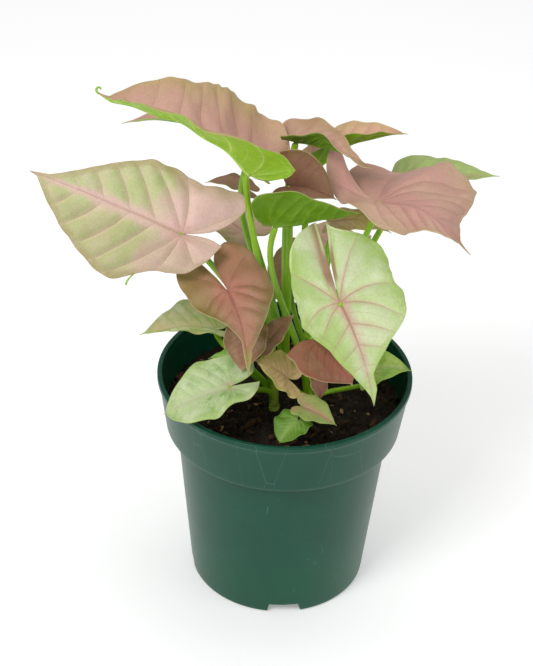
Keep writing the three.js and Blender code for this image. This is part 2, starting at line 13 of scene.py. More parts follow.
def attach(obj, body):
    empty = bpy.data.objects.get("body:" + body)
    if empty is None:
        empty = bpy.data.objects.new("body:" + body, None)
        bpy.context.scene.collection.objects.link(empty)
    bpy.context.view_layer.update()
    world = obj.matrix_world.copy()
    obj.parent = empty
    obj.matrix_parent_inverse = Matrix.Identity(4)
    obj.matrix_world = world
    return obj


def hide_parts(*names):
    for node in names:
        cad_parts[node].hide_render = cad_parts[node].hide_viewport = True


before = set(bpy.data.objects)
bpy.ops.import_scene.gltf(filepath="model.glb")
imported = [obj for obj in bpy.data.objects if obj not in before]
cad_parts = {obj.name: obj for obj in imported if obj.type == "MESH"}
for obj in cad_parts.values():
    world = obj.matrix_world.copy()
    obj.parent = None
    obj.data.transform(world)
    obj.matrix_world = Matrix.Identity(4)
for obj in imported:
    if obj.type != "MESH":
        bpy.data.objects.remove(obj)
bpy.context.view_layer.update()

MM = 0.001
TAU = 2 * math.pi

# ------------------------------------------------------------------ sizes that repeat the frame's
POT_HEIGHT = 102.5
RIM_RADIUS = 54.0
RIM_INSIDE = RIM_RADIUS - 2.1
BASE_RADIUS = 38.3
NECK_RADIUS = 45.6
BAND_RADIUS = 50.3
BAND_BOTTOM = 77.2
POT_WALL = 1.4
POT_FLOOR = 1.8
WALL_SLOPE = (NECK_RADIUS - BASE_RADIUS) / (BAND_BOTTOM - 2.2)
NOTCH_COUNT = 4
NOTCH_TURN = 5.5
NOTCH_WIDTH = 14.0
NOTCH_HEIGHT = 4.2
NOTCH_INSET = 31.3
SOIL_LEVEL = 86.0
STEM_RADIUS = 2.7
STEM_BOTTOM = 70.0
STEMS = {
    "left": dict(node="shoot_left", at=(-4, -7), top=91),
    "front": dict(node="shoot_front", at=(10, -9), top=93),
    "back": dict(node="shoot_back", at=(0, 7), top=95),
    "right": dict(node="shoot_right", at=(13, 5), top=91),
}

# Widths, lobe, slit and tail are shares of a blade's length from stalk joint to tip. rise, sway and
# hook are millimetres; roll, fold, curl, lobe_lift and lobe_bend are degrees. Pairs are the left and
# right halves; fours are the values at the lobe end, the stalk, x = MIDDLE and the tip. wave is
# (millimetres, waves per length, start). veins is (laterals along the midrib, lean and sweep of
# vein_phase, millimetres of quilting between them). stalk is its radius at the stem and at the blade;
# bow is how far it first leans, and arrive how it ends, (forwards, upwards).
LEAF_DEFAULTS = dict(
    color="pink", grid=None, width=0.38, lobe=0.38, slit=0.14, side_width=(1, 1),
    base_width=(0.85, 0.85), taper=(1.1, 1.1), lobe_end=(0.52, 0.52), lobe_length=(1, 1),
    lobe_round=(0.5, 0.5), lobe_lift=(0, 0), lobe_lean=0, lobe_bend=0, tail=0.08, rise=4, sway=0,
    skew=0, roll=0, hook=0, fold=((10,) * 4,) * 2, curl=((0,) * 4,) * 2, wave=(0.6, 2.5, 0),
    veins=(6, 0.45, 1, 0.4), stalk=(1.6, 1.2), bow=(0, 0), arrive=(0.5, 0.8),
)


def blade_row(name, stem, base, tip, **shape):
    """One blade: its stem, stalk joint and tip, and its own shape over the default one."""
    return {**LEAF_DEFAULTS, "name": name, "stem": stem, "base": base, "tip": tip, **shape}


LEAVES = [
    blade_row("leaf_top_left", "left", (-17, -11, 202), (-78, -1, 228), grid="fine", width=0.34,
        lobe=0.38, side_width=(1, 1.55), base_width=(0.75, 0.9), taper=(1, 0.85), lobe_end=(0.74, 0.36),
        lobe_length=(0.3, 0.7), lobe_round=(0.7, 0.5), lobe_bend=30, tail=0.12, rise=11.5, sway=8,
        skew=-0.24, hook=3, fold=((58, 78, 40, 45), (18, -6, 4, 28)),
        curl=((0, -8, -10, -38), (0, 16, 6, 15)), wave=(0.8, 4.5, 0.1), veins=(6, 0.3, 1, 0.35),
        bow=(0, -5), arrive=(1, 0.5)),
    blade_row("leaf_top_left_lower", "back", (-18, 19, 189), (-70, 28, 202), width=0.3, lobe=0.18,
        slit=0.3, side_width=(0.85, 1), lobe_bend=5, rise=10, fold=((40, 55, 44, 20), (20, 14, 12, 10))),
    blade_row("leaf_left_broad", "left", (-43, -12, 175), (-105, 6, 191), color="blush", grid="fine",
        width=0.38, lobe=0.36, slit=0.1, side_width=(1.11, 0.91), base_width=(0.53, 0.77),
        taper=(0.97, 1.53), lobe_end=(0.3, 0.66), lobe_length=(0.68, 0.82), lobe_round=(1.2, 0.8),
        lobe_lift=(20, 0), lobe_lean=-0.1, rise=3, roll=-44, fold=((10, 6, 6, 6), (14, 10, 10, 10)),
        curl=((-20, -20, -10, 0), (-10, -20, -10, 0)), wave=(0.7, 3.5, 0.2), veins=(6, 0.62, 0.7, 1.2)),
    blade_row("leaf_front_left", "left", (-24, -24.5, 157), (-15, -42.5, 129), grid="fine", width=0.52,
        lobe=0.56, slit=0.09, side_width=(1.01, 0.84), base_width=(0.99, 1.2), taper=(2.4, 4),
        lobe_end=(0.61, 0.36), lobe_length=(1.12, 0.98), lobe_round=(0.54, 0.3), lobe_lean=-0.105,
        tail=0.117, rise=6, sway=2, roll=20, fold=((20, 14, 17, 20), (20, 14, 17, 20)),
        curl=((-40, -40, -20, 0), (-40, -40, -20, 0)), wave=(0.6, 3.1, 0.4), veins=(5, 0.4, 1, 0.9)),
    blade_row("leaf_rim_left", "left", (-29, 0, 122), (-61, -6, 122), color="green", width=0.42, lobe=0.2,
        side_width=(0.35, 1.15), lobe_bend=12, rise=3, roll=-6, stalk=(1.5, 1)),
    blade_row("leaf_low_left", "left", (-22, -30, 115), (-49, -36, 104), color="green", grid="fine",
        width=0.44, lobe=0.4, side_width=(1.05, 1.1), base_width=(0.6, 0.85), taper=(0.5, 0.8),
        lobe_end=(0.15, 0.5), lobe_round=(1, 0.5), rise=2, roll=-20,
        fold=((8, 6, 6, 6), (10, 10, 10, 10)), veins=(6, 0.5, 1, 0.35), stalk=(1.5, 1)),
    blade_row("leaf_front_right", "front", (20, -32, 158), (35, -50, 122), color="green", grid="fine",
        width=0.56, lobe=0.72, slit=0.03, side_width=(1, 0.72), base_width=(0.71, 1.19),
        taper=(3.3, 1.29), lobe_end=(0.12, 0.05), lobe_length=(1.06, 1.08), lobe_round=(2.65, 0.36),
        lobe_lean=0.17, rise=3, sway=2, roll=38, fold=((4, 4, 9, 14), (8, 6, 9, 14)),
        curl=((-30, -20, -10, 0), (-30, -20, -10, 0)), wave=(0.7, 3.2, 0.3), veins=(5, 0.22, 0.9, 0.9)),
    blade_row("leaf_right_broad", "front", (34, -4.5, 189), (68, -35, 182), grid="fine", width=0.64,
        lobe=0.56, slit=0.03, side_width=(1.3, 0.46), base_width=(0.88, 0.88), taper=(0.78, 0.66),
        lobe_end=(0.5, 0.2), lobe_length=(1.15, 1), lobe_lift=(0, 34), lobe_bend=12, tail=0.18, rise=9.5,
        sway=-3.4, skew=0.42, roll=-6, hook=2, fold=((5, 15, -2, -27), (14, 14, -28, 15)),
        curl=((-27, -10, -6, -20), (-48, -22, -33, 15)), wave=(0.9, 2.7, 0.1), veins=(5, 0.6, 1, 0.6)),
    blade_row("leaf_top_center", "back", (0, 12, 205), (30, -12, 207), width=0.46, lobe=0.35,
        side_width=(0.74, 0.4), taper=(2, 0.6), lobe_length=(0.85, 0.2), tail=0.04, rise=3,
        fold=((34, 24, 12, 10), (0, 36, 62, 0))),
    blade_row("leaf_top_right", "right", (10, 20.5, 190), (46, 24, 204), width=0.38, lobe=0.15,
        side_width=(1, 0.7), taper=(0.8, 0.8), rise=4.5, fold=((20, 14, 12, 10), (54, 60, 52, 30)),
        arrive=(0.9, 0.3)),
    blade_row("leaf_right_back", "right", (46, 41, 173), (85.5, 30, 183), color="green", width=0.32,
        lobe=0.12, rise=1, fold=((20, 24, 15, 10), (30, 20, 15, 10))),
    blade_row("leaf_center", "back", (-2.2, -2.5, 193), (17.5, -9, 191), width=0.4, lobe=0.34,
        side_width=(1.75, 0.76), lobe_length=(0.2, 0.8), rise=3, roll=32,
        fold=((50, 50, 36, 20), (10, 10, 10, 10))),
    blade_row("leaf_center_under", "front", (-7, -5.4, 176), (27.5, -8.4, 185.5), width=0.62, lobe=0.14,
        side_width=(0.25, 1), rise=0, fold=((10, 10, 10, 10), (60, 66, 64, 50))),
    blade_row("leaf_back_left_small", "back", (-18.5, 28, 174), (-36, 30, 175), width=0.36, lobe=0.3,
        rise=2, stalk=(1.3, 0.9)),
    blade_row("leaf_right_under", "right", (17, 10, 170), (41, 6, 168), width=0.4, lobe=0.15, rise=3,
        fold=((4, 4, 4, 4), (4, 4, 4, 4))),
    blade_row("leaf_low_olive", "front", (0.5, -21, 114), (-13, -23, 123.5), width=0.62, lobe=0.42,
        lobe_bend=12, rise=1, roll=-20, stalk=(1.1, 0.8)),
    blade_row("leaf_low_red", "front", (13, -28, 137), (27, -37, 122), width=0.75, lobe=0.2, rise=2,
        roll=20, veins=(5, 0.4, 1, 0.8), stalk=(1.2, 0.9)),
    blade_row("leaf_low_bud", "front", (13.3, -25, 116.2), (14.5, -28, 108.3), width=0.45, lobe=0.2,
        rise=1, stalk=(0.9, 0.7)),
    blade_row("leaf_low_front", "front", (8, -34.5, 109), (21.5, -39, 103.5), color="green", width=0.46,
        lobe=0.28, rise=1, roll=10, stalk=(1.1, 0.8), bow=(5, 0)),
    blade_row("leaf_round_front", "front", (5.5, -35, 102.5), (-1.5, -43, 96.5), color="lime", width=0.66,
        lobe=0.2, taper=(0.7, 0.7), rise=1, stalk=(1.1, 0.8), bow=(-4, 0)),
    blade_row("leaf_rim_right", "front", (33.5, -8, 106.5), (53, -8, 110), color="green", width=0.54,
        lobe=0.12, lobe_bend=32, roll=8, stalk=(1.2, 0.9)),
    blade_row("leaf_inner_small", "left", (-7, -20, 132), (3, -16, 142), width=0.34, lobe=0.5, rise=1,
        roll=30, stalk=(1.1, 0.8)),
    blade_row("leaf_inner_right", "front", (11, -14, 130), (5, -18, 141.5), width=0.5, lobe=0.3, rise=1,
        roll=20, stalk=(1.1, 0.8)),
    blade_row("leaf_inner_left", "left", (-16, -19, 134), (-18, -26, 119), width=0.55, lobe=0.3, rise=1,
        stalk=(1.1, 0.8)),
    blade_row("leaflet_left", "left", (-19, -12, 117), (-32, -14, 117), color="lime", width=0.34,
        lobe=0.2, rise=1, stalk=(1, 0.8)),
    blade_row("leaf_inner_back", "right", (1, 22, 143), (-5, 18, 126), width=0.5, lobe=0.5, rise=2,
        stalk=(1.1, 0.8)),
    blade_row("leaf_back_right", "right", (18, 38, 142), (34, 62, 130), width=0.42, lobe=0.3,
        lobe_length=(1, 0.8), rise=5),
    blade_row("leaf_back_left", "back", (-20, 34, 150), (-44, 52, 143), width=0.42, lobe=0.3,
        lobe_bend=12, rise=5),
    blade_row("leaf_back_low", "right", (2, 34, 123), (5, 59, 111), color="green", width=0.44, lobe=0.4,
        rise=4, stalk=(1.5, 1)),
]


# ------------------------------------------------------------------ small maths
def smooth(t):
    """3t^2 - 2t^3, with t held between 0 and 1."""
    c = np.clip(t, 0, 1)
    return c * c * (3 - 2 * c)


def unit(v):
    """Each vector divided by its own length."""
    return v / np.maximum(np.linalg.norm(v, axis=-1, keepdims=True), 1e-12)


def bell(t):
    """exp(-t^2)."""
    return np.exp(-t * t)


def waves(x, y, size, seed, count=7):
    """Soft bumps from -1 to 1: the mean of sines in seeded directions, each about `size` long."""
    draw = np.random.default_rng(seed)
    total = 0
    for turn, start, scale in zip(draw.uniform(0, TAU, count), draw.uniform(0, TAU, count),
                                  draw.uniform(0.7, 1.5, count)):
        total = total + np.sin((x * math.cos(turn) + y * math.sin(turn)) * TAU / (size * scale) + start)
    return total / math.sqrt(count)


# ------------------------------------------------------------------ meshes
def lattice(index):
    """Quads between the neighbours of a two-way table of vertex numbers."""
    return np.stack([index[:-1, :-1], index[1:, :-1], index[1:, 1:], index[:-1, 1:]], -1).reshape(-1, 4)


def fan(pole, ring):
    """Triangles from one vertex to each step of a row of vertices."""
    return np.stack([np.full(len(ring) - 1, pole), ring[:-1], ring[1:]], -1)


def capped(rings, first, last):
    """A closed surface: rings of points, each joined to the next, and a pole at either end."""
    index = np.arange(rings[..., 0].size).reshape(rings.shape[:2])
    wrapped = np.concatenate([index, index[:, :1]], 1)
    faces = [lattice(wrapped)[:, ::-1], fan(index.size, wrapped[0])[:, ::-1],
             fan(index.size + 1, wrapped[-1])]
    return np.concatenate([rings.reshape(-1, 3), [first, last]]), faces


def corner_normals(points, faces):
    """Vertex normals: the sum of the cross products of the faces' diagonals, made one long."""
    total = np.zeros_like(points)
    for table in faces:
        a, b, c, d = (points[table[:, k]] for k in (0, 1, 2, -1))
        cross = np.cross(c - a, d - b) if table.shape[1] == 4 else np.cross(b - a, c - a)
        for column in table.T:
            np.add.at(total, column, cross)
    return unit(total)


def put(name, data, matrix=Matrix()):
    """A new object in the scene."""
    made = bpy.data.objects.new(name, data)
    made.matrix_world = matrix
    bpy.context.scene.collection.objects.link(made)
    return made


def add_mesh(name, points, faces, values=None, flat=False):
    """A mesh object at the origin from points in millimetres and tables of quads and triangles."""
    mesh = bpy.data.meshes.new(name)
    corners = np.concatenate([table.ravel() for table in faces]).astype(np.int32)
    sizes = np.concatenate([np.full(len(table), table.shape[1]) for table in faces])
    starts = np.concatenate([[0], np.cumsum(sizes)[:-1]]).astype(np.int32)
    mesh.vertices.add(len(points))
    mesh.vertices.foreach_set("co", (points * MM).astype(np.float32).ravel())
    mesh.loops.add(len(corners))
    mesh.loops.foreach_set("vertex_index", corners)
    mesh.polygons.add(len(sizes))
    mesh.polygons.foreach_set("loop_start", starts)
    mesh.polygons.foreach_set("use_smooth", np.full(len(sizes), not flat))
    mesh.update(calc_edges=True)
    for key, column in (values or {}).items():
        layer = mesh.attributes.new(key, "FLOAT", "POINT")
        layer.data.foreach_set("value", np.asarray(column, np.float32).ravel())
    return put(name, mesh)


def settle(piece, node, slot, material):
    """The piece stands for a frame node: same body and its finish; slot is not used."""
    piece.data.materials.append(material)
    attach(piece, "root")
    if node:
        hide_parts(node)


def joined(parts):
    """Several (points, faces, values) as one, with the vertex numbers moved along."""
    points, faces, values, start = [], [], {}, 0
    for these, tables, columns in parts:
        points.append(these)
        faces += [table + start for table in tables]
        for key, column in columns.items():
            values.setdefault(key, []).append(np.broadcast_to(column, len(these)))
        start += len(these)
    return np.concatenate(points), faces, {key: np.concatenate(v) for key, v in values.items()}


def tube(path, radii, sides, across, groove=0.0):
    """A closed tube: circles of the given radii square to a path. `across` is a direction that the
    path never takes; the radius shrinks by `groove` in a bell on the side of side x path."""
    ahead = unit(np.gradient(path, axis=0))
    side = unit(across - (ahead @ across)[:, None] * ahead)
    third = np.cross(ahead, side)
    angle = np.arange(sides) * TAU / sides
    shape = 1 - groove * bell((np.angle(np.exp(1j * (angle - TAU / 4)))) / 0.6)
    around = side[:, None] * np.cos(angle)[:, None] + third[:, None] * np.sin(angle)[:, None]
    points, faces = capped(path[:, None] + around * (radii[:, None] * shape)[..., None], path[0], path[-1])
    share = np.concatenate([np.repeat(np.linspace(0, 1, len(path)), sides), [0, 1]])
    return points, faces, {"along": share}


# ------------------------------------------------------------------ blade formula
SHOULDER = 0.38
MIDDLE = 0.4
HOOK_FROM = 0.86
HOOK_LENGTH = 0.14
LOBE_VEINS = 1.9


def half_width(leaf, side, t):
    """Half-width along a blade: (1 - (t/end)^1.9)^taper times a shoulder that grows to full width by
    t = SHOULDER, and never less than a thin straight tail at the tip."""
    base, tail = leaf["base_width"][side], leaf["tail"]
    body = np.clip(1 - (np.clip(t, 0, 1) / (1 - 0.6 * tail)) ** 1.9, 0, 1)
    belly = body ** leaf["taper"][side] * (base + (1 - base) * smooth(t / SHOULDER))
    return np.maximum(belly, 0.9 * tail * np.clip((1 - t) / (2 * tail), 0, 1))


def outline(leaf, side, s):
    """x, inner y and outer y for s from -1 (lobe end) over 0 (stalk) to 1 (tip). In a lobe both edges
    close on its end as (1 - s^4)^round; both lobes lean to the left by `lobe_lean` lengths."""
    peak = half_width(leaf, side, np.linspace(0, 1, 101)).max()
    k = np.clip(-s, 0, 1)
    shoulder = leaf["width"] * leaf["base_width"][side] / peak
    end = leaf["lobe_end"][side]
    closing = np.clip(1 - k ** 4, 0, 1) ** leaf["lobe_round"][side]
    lean = (1 - 2 * side) * leaf["lobe_lean"] * k / leaf["side_width"][side]
    x = np.where(s >= 0, s, -leaf["lobe"] * leaf["lobe_length"][side] * k)
    inner = np.where(s >= 0, 0, lean + shoulder * (end + (leaf["slit"] * k - end) * closing))
    outer = np.where(s >= 0, leaf["width"] * half_width(leaf, side, np.clip(s, 0, 1)) / peak,
                     lean + shoulder * (end + (1 - end) * closing))
    return x, inner, outer


def between(four, leaf, x):
    """The value at x of a list for the lobe end, the stalk, x = MIDDLE and the tip, eased from each
    to the next."""
    lobe_end, base, middle, tip = four
    front = np.where(x < MIDDLE, base + (middle - base) * smooth(x / MIDDLE),
                     middle + (tip - middle) * smooth((x - MIDDLE) / (1 - MIDDLE)))
    return np.where(x < 0, base + (lobe_end - base) * smooth(-x / leaf["lobe"]), front)


def midrib(leaf, x):
    """Points and frame of the midrib: a straight chord plus a bump 4q(1-q) upwards and sideways and
    a hooked tip; behind the stalk it runs straight on and bends down by the square of x."""
    base = np.array(leaf["base"], float)
    chord = np.array(leaf["tip"], float) - base
    length = np.linalg.norm(chord)
    forward = chord / length
    level = unit(np.cross([0, 0, 1.0], forward))
    up = np.cross(forward, level)
    c, s = math.cos(math.radians(leaf["roll"])), math.sin(math.radians(leaf["roll"]))
    left0, up0 = level * c + up * s, up * c - level * s
    q = np.clip(x, 0, 1)
    lean = 1 + leaf["skew"] * (2 * q - 1)
    bump = (4 * q * (1 - q) * lean)[..., None]
    slope = (4 * (1 - 2 * q) * lean + 8 * leaf["skew"] * q * (1 - q))[..., None]
    end = np.clip((q - HOOK_FROM) / HOOK_LENGTH, 0, 1)[..., None]
    tangent = forward * length + up0 * (leaf["rise"] * slope + leaf["hook"] * 2 * end / HOOK_LENGTH)
    tangent = unit(tangent + left0 * leaf["sway"] * slope)
    left = unit(np.cross(np.cross(tangent, left0), tangent))
    normal = np.cross(tangent, left)
    point = base + forward * (length * q)[..., None] + up0 * (leaf["rise"] * bump + leaf["hook"] * end ** 2)
    point = point + left0 * leaf["sway"] * bump
    back = np.minimum(x, 0)[..., None]
    bend = math.tan(math.radians(leaf["lobe_bend"])) * back / leaf["lobe"]
    point = point + tangent * back * length + normal * bend * back * length
    return point, left, np.cross(unit(tangent + normal * 2 * bend), left), length


def blade_point(leaf, side, x, y):
    """A point of the bent blade: each half is an arc that starts at the fold angle and turns by the
    curl angle up to the widest y, plus a ripple that grows with y squared and a lifted lobe."""
    point, left, normal, length = midrib(leaf, x)
    u = y / leaf["width"]
    fold = np.radians(between(leaf["fold"][side], leaf, x))
    curl = np.radians(between(leaf["curl"][side], leaf, x))
    curl = np.where(np.abs(curl) < 1e-3, 1e-3, curl)
    reach = leaf["width"] * length * leaf["side_width"][side]
    out = reach * (np.sin(fold + curl * u) - np.sin(fold)) / curl
    height, count, start = leaf["wave"]
    ripple = height * np.sin(TAU * (count * x + start + 0.23 * side)) * np.clip(u, 0, 1) ** 2
    ripple = ripple * np.clip((1 - x) * 4, 0, 1)
    back = np.minimum(x, 0)
    lift = math.tan(math.radians(leaf["lobe_lift"][side])) * back * back * length / leaf["lobe"]
    rise = reach * (np.cos(fold) - np.cos(fold + curl * u)) / curl + ripple + lift
    return point + left * ((1 - 2 * side) * out)[..., None] + normal * rise[..., None]


def vein_phase(x, y, length, veins, seed):
    """Lateral veins lie at whole numbers of the phase. Ahead of the stalk it is
    count * (x - lean y - sweep y^2); in the lobes it is minus an angle about the stalk. The second
    value is the distance in millimetres from one whole number to the next."""
    count, lean, sweep = veins
    start = x - lean * y - sweep * y * y
    angle = np.arctan2(-start, np.maximum(y, 1e-4))
    phase = np.where(start >= 0, count * start, -LOBE_VEINS * angle)
    slant = np.sqrt(1 + (lean + 2 * sweep * y) ** 2)
    radius = np.hypot(start, y) * length
    spacing = np.where(start >= 0, length / (count * slant), radius / LOBE_VEINS)
    phase = phase + 0.10 * np.sin(TAU * 1.3 * x + seed) * smooth(start * 6) * smooth(y * 8)
    return phase, spacing


def span(leaf):
    """The straight distance from a blade's stalk joint to its tip."""
    return np.linalg.norm(np.subtract(leaf["tip"], leaf["base"]))


# A grid is (rows ahead of the stalk, rows in a lobe, columns in a half). A blade shorter than
# SMALL_BLADE has the small one, and the relief is in full from FULL_BLADE on, all in millimetres.
# RAGGED is the share by which the width varies.
BLADE_GRIDS = {"fine": (120, 34, 34), "plain": (84, 24, 24), "small": (48, 14, 14)}
BLADE_HALF = 0.23
MARGIN_HALF = 0.07
SMALL_BLADE = 25
FULL_BLADE = 32
RAGGED = 0.018
SWELL = 0.42
DIMPLE = 0.18
FRILL = 0.3
GROOVE = 0.25
KEEL = 0.62
BRANCH = 0.16


def blade(leaf, seed):
    """The closed blade. Both skins lie half a thickness from the formula's surface, which is pressed
    in along the lateral veins and bulges between them, with a ragged, frilled margin; the lower skin
    has the midrib's keel."""
    length = span(leaf)
    rows, lobe_rows, across = BLADE_GRIDS[leaf["grid"] or ("plain" if length > SMALL_BLADE else "small")]
    big = min(1, length / FULL_BLADE)
    station = 1 - (1 - np.arange(rows + 1) / rows) ** 1.35
    back = -np.sin(TAU / 4 * np.arange(1, lobe_rows) / lobe_rows)
    even = np.arange(across + 1) / across
    column = even - 0.5 * np.sin(TAU * even) / TAU
    rib = np.arange(rows + 1)
    straight = np.zeros(rows + 1)
    narrow = np.minimum(half_width(leaf, 0, station), half_width(leaf, 1, station)) * leaf["width"]

    def edges(side, s):
        """The outline, with its outer edge a little ragged."""
        x, inner, outer = outline(leaf, side, s)
        ragged = 1 + RAGGED * big * waves(x * length, np.full_like(x, 40.0 * side), 8, seed + 3)
        return x, inner, inner + (outer - inner) * ragged

    # Each sheet holds x, y and the room to the margin, in blade lengths, and the side's sign.
    points, sheets = [blade_point(leaf, 0, station, straight)], [(station, straight, narrow, straight)]
    faces, rims, count = [], [], rows + 1
    for side in (0, 1):
        x, _, outer = edges(side, station[:-1])
        y = outer[:, None] * column[1:]
        body = count + np.arange(y.size).reshape(y.shape)
        table = np.concatenate([rib[:-1, None], body], 1)
        lx, inner, lobe_outer = edges(side, back)
        ly = inner[:, None] + (lobe_outer - inner)[:, None] * column
        lobe = count + y.size + np.arange(ly.size).reshape(ly.shape)
        ex, _, ey = outline(leaf, side, np.array([-1.0]))
        end = count + y.size + ly.size
        count = end + 1
        x_all = np.concatenate([np.repeat(x, across), np.repeat(lx, across + 1), ex])
        y_all = np.concatenate([y.ravel(), ly.ravel(), ey])
        lobe_room = np.minimum(lobe_outer[:, None] - ly, ly - inner[:, None])
        room = np.concatenate([(outer[:, None] - y).ravel(), lobe_room.ravel(), [0.0]])
        points.append(blade_point(leaf, side, x_all, y_all))
        sheets.append((x_all, y_all, room * leaf["side_width"][side], np.full(len(x_all), 1 - 2 * side)))
        lobes = np.concatenate([table[:1], lobe])
        tables = [lattice(table), lattice(lobes)[:, ::-1], fan(rib[-1], table[-1])[:, ::-1],
                  fan(end, lobes[-1])]
        faces += [t if side == 0 else t[:, ::-1] for t in tables]
        rims.append(np.concatenate([table[::-1, -1], lobe[:, -1], [end], lobe[::-1, 0]]))
    flat = np.concatenate(points)
    x, y, margin, sign = np.concatenate(sheets, 1)
    u, v = x * length, y * length
    margin = np.minimum(margin, np.abs(1 - x)) * length
    normal = corner_normals(flat, faces)
    *veins, quilt = leaf["veins"]
    phase, spacing = vein_phase(x, y, length, veins, seed)
    off = np.abs(phase - np.round(phase)) * spacing
    near = smooth(v / 5) * smooth(margin / 4) * smooth(spacing / 5)
    pressed = quilt * (0.45 - bell(off / (0.13 * spacing + 0.5))) * near
    uneven = SWELL * big * waves(u, v, 22, seed) * smooth(margin / 2)
    uneven = uneven + DIMPLE * big * waves(u, v, 8, seed + 1) * smooth(v / 3)
    frill = FRILL * big * waves(u, v, 9, seed + 2) * bell(margin / 2.5) * smooth(v / 4)
    groove = -GROOVE * bell(v / 1.3) * np.clip(1 - 0.8 * x, 0.15, 1) * smooth(margin / 1.5)
    flat = flat + normal * (pressed + uneven + frill + groove)[:, None]
    rounding = np.sqrt(np.clip(1 - (1 - np.clip(margin / 0.9, 0, 1)) ** 2, 0, 1))
    half = MARGIN_HALF + (BLADE_HALF - MARGIN_HALF) * rounding
    reach = np.hypot(np.minimum(u, 0), v)
    keel = KEEL * bell(reach / 0.95) * np.clip(1 - 0.85 * x, 0.1, 1) * smooth(margin / 1.5)
    branch = BRANCH * bell(off / 0.7) * near
    total = len(flat)
    both = np.concatenate([flat + normal * half[:, None], flat - normal * (half + keel + branch)[:, None]])
    rim = np.concatenate([rib[-1:], rims[0], rib[:1], rims[1][::-1]])
    turn = np.roll(rim, -1)
    shell = faces + [t[:, ::-1] + total for t in faces]
    shell.append(np.stack([rim, rim + total, turn + total, turn], -1))
    values = {
        "phase": phase, "spacing": spacing, "rib": reach, "margin": margin, "along": x,
        "across": np.clip(v / np.maximum(v + margin, 1e-3), 0, 1), "aside": v * sign,
    }
    values = {key: np.concatenate([v, v]) for key, v in values.items()}
    values["upper"] = np.repeat([1.0, 0.0], total)
    return both, shell, values


# ------------------------------------------------------------------ shader kit
def colour(code):
    """Linear colour from six hex digits of a display colour: ((v + 0.055) / 1.055)^2.4 above 0.04."""
    shares = (int(code[k:k + 2], 16) / 255 for k in (0, 2, 4))
    return (*(v / 12.92 if v <= 0.04045 else ((v + 0.055) / 1.055) ** 2.4 for v in shares), 1.0)


def operator(operation, swap=False):
    """A method that takes the value and one more operand, or the two swapped, to a Math node."""
    return lambda self, other: self.maths(operation, *((other, self) if swap else (self, other)))


class Value:
    """A node output that takes part in Python arithmetic; each operation adds one Math node."""

    def __init__(self, finish, socket):
        self.finish = finish
        self.socket = socket

    def maths(self, operation, *others, clamp=False):
        """The value of a new Math node with these operands."""
        settings = {"operation": operation, "use_clamp": clamp}
        return self.finish.node("ShaderNodeMath", settings, dict(enumerate(others)))

    __add__ = __radd__ = operator("ADD")
    __mul__ = __rmul__ = operator("MULTIPLY")
    __sub__, __rsub__ = operator("SUBTRACT"), operator("SUBTRACT", swap=True)
    __truediv__, __rtruediv__ = operator("DIVIDE"), operator("DIVIDE", swap=True)
    __pow__ = operator("POWER")
    most = operator("MAXIMUM")

    def __abs__(self):
        return self.maths("ABSOLUTE", self)

    def fraction(self):
        return self.maths("FRACT", self)

    def held(self):
        """Held between 0 and 1."""
        return self.maths("ADD", self, 0.0, clamp=True)

    def step(self, low, high, to_low=0.0, to_high=1.0):
        """Eased from to_low at low to to_high at high."""
        return self.finish.node("ShaderNodeMapRange", {"interpolation_type": "SMOOTHSTEP"}, {
            0: self, 1: low, 2: high, 3: to_low, 4: to_high})

    def fall(self, low, high):
        """Eased from 1 at low to 0 at high."""
        return 1 - self.step(low, high)


class Finish:
    """One material: its nodes, and the Principled surface that they end in."""

    def __init__(self, name):
        self.material = bpy.data.materials.new(name)
        self.material.use_nodes = True
        self.tree = self.material.node_tree
        self.surface = self.tree.nodes["Principled BSDF"]

    def node(self, kind, settings=None, inputs=None, output=0):
        """A node of this type: its settings first, then the values or links of its sockets."""
        made = self.tree.nodes.new(kind)
        for key, value in (settings or {}).items():
            setattr(made, key, value)
        for key, value in (inputs or {}).items():
            self.feed(made.inputs[key], value)
        return Value(self, made.outputs[output])

    def feed(self, socket, value):
        """Links a Value, or sets a number, a vector or the hex digits of a colour."""
        if isinstance(value, Value):
            self.tree.links.new(value.socket, socket)
        else:
            socket.default_value = colour(value) if isinstance(value, str) else value

    def shade(self, **sockets):
        """Sets the surface's sockets; an underscore stands for a space in a socket's name."""
        for key, value in sockets.items():
            self.feed(self.surface.inputs[key.replace("_", " ")], value)
        return self.material

    def place(self, *stretch):
        """Object coordinates in millimetres, times `stretch` if it is given."""
        at = self.node("ShaderNodeTexCoord", output=3)
        return self.node("ShaderNodeVectorMath", {"operation": "MULTIPLY"},
                         {0: at, 1: tuple(k / MM for k in stretch or (1, 1, 1))})

    def value(self, name):
        """A number that the mesh holds for each vertex."""
        return self.node("ShaderNodeAttribute", {"attribute_name": name}, output=2)

    def noise(self, at, size, detail=3.0, rough=0.5, warp=0.0):
        """Cloudy noise from 0 to 1, about `size` millimetres from lump to lump."""
        return self.node("ShaderNodeTexNoise", {}, {
            "Vector": at, "Scale": 1 / size, "Detail": detail, "Roughness": rough, "Distortion": warp})

    def cells(self, at, size):
        """Distance to the borders of a cell pattern, one cell about `size` millimetres wide."""
        return self.node("ShaderNodeTexVoronoi", {"feature": "DISTANCE_TO_EDGE"},
                         {"Vector": at, "Scale": 1 / size})

    def mix(self, first, second, share):
        """Colour from first to second by share."""
        return self.node("ShaderNodeMix", {"data_type": "RGBA"}, {0: share, 6: first, 7: second}, 2)

    def scaled(self, tint, amount):
        """A colour times a number."""
        return self.node("ShaderNodeVectorMath", {"operation": "SCALE"}, {0: tint, 3: amount})

    def bump(self, height, strength=1.0):
        """A normal from a height in millimetres."""
        return self.node("ShaderNodeBump", {}, {"Height": height, "Distance": MM, "Strength": strength})
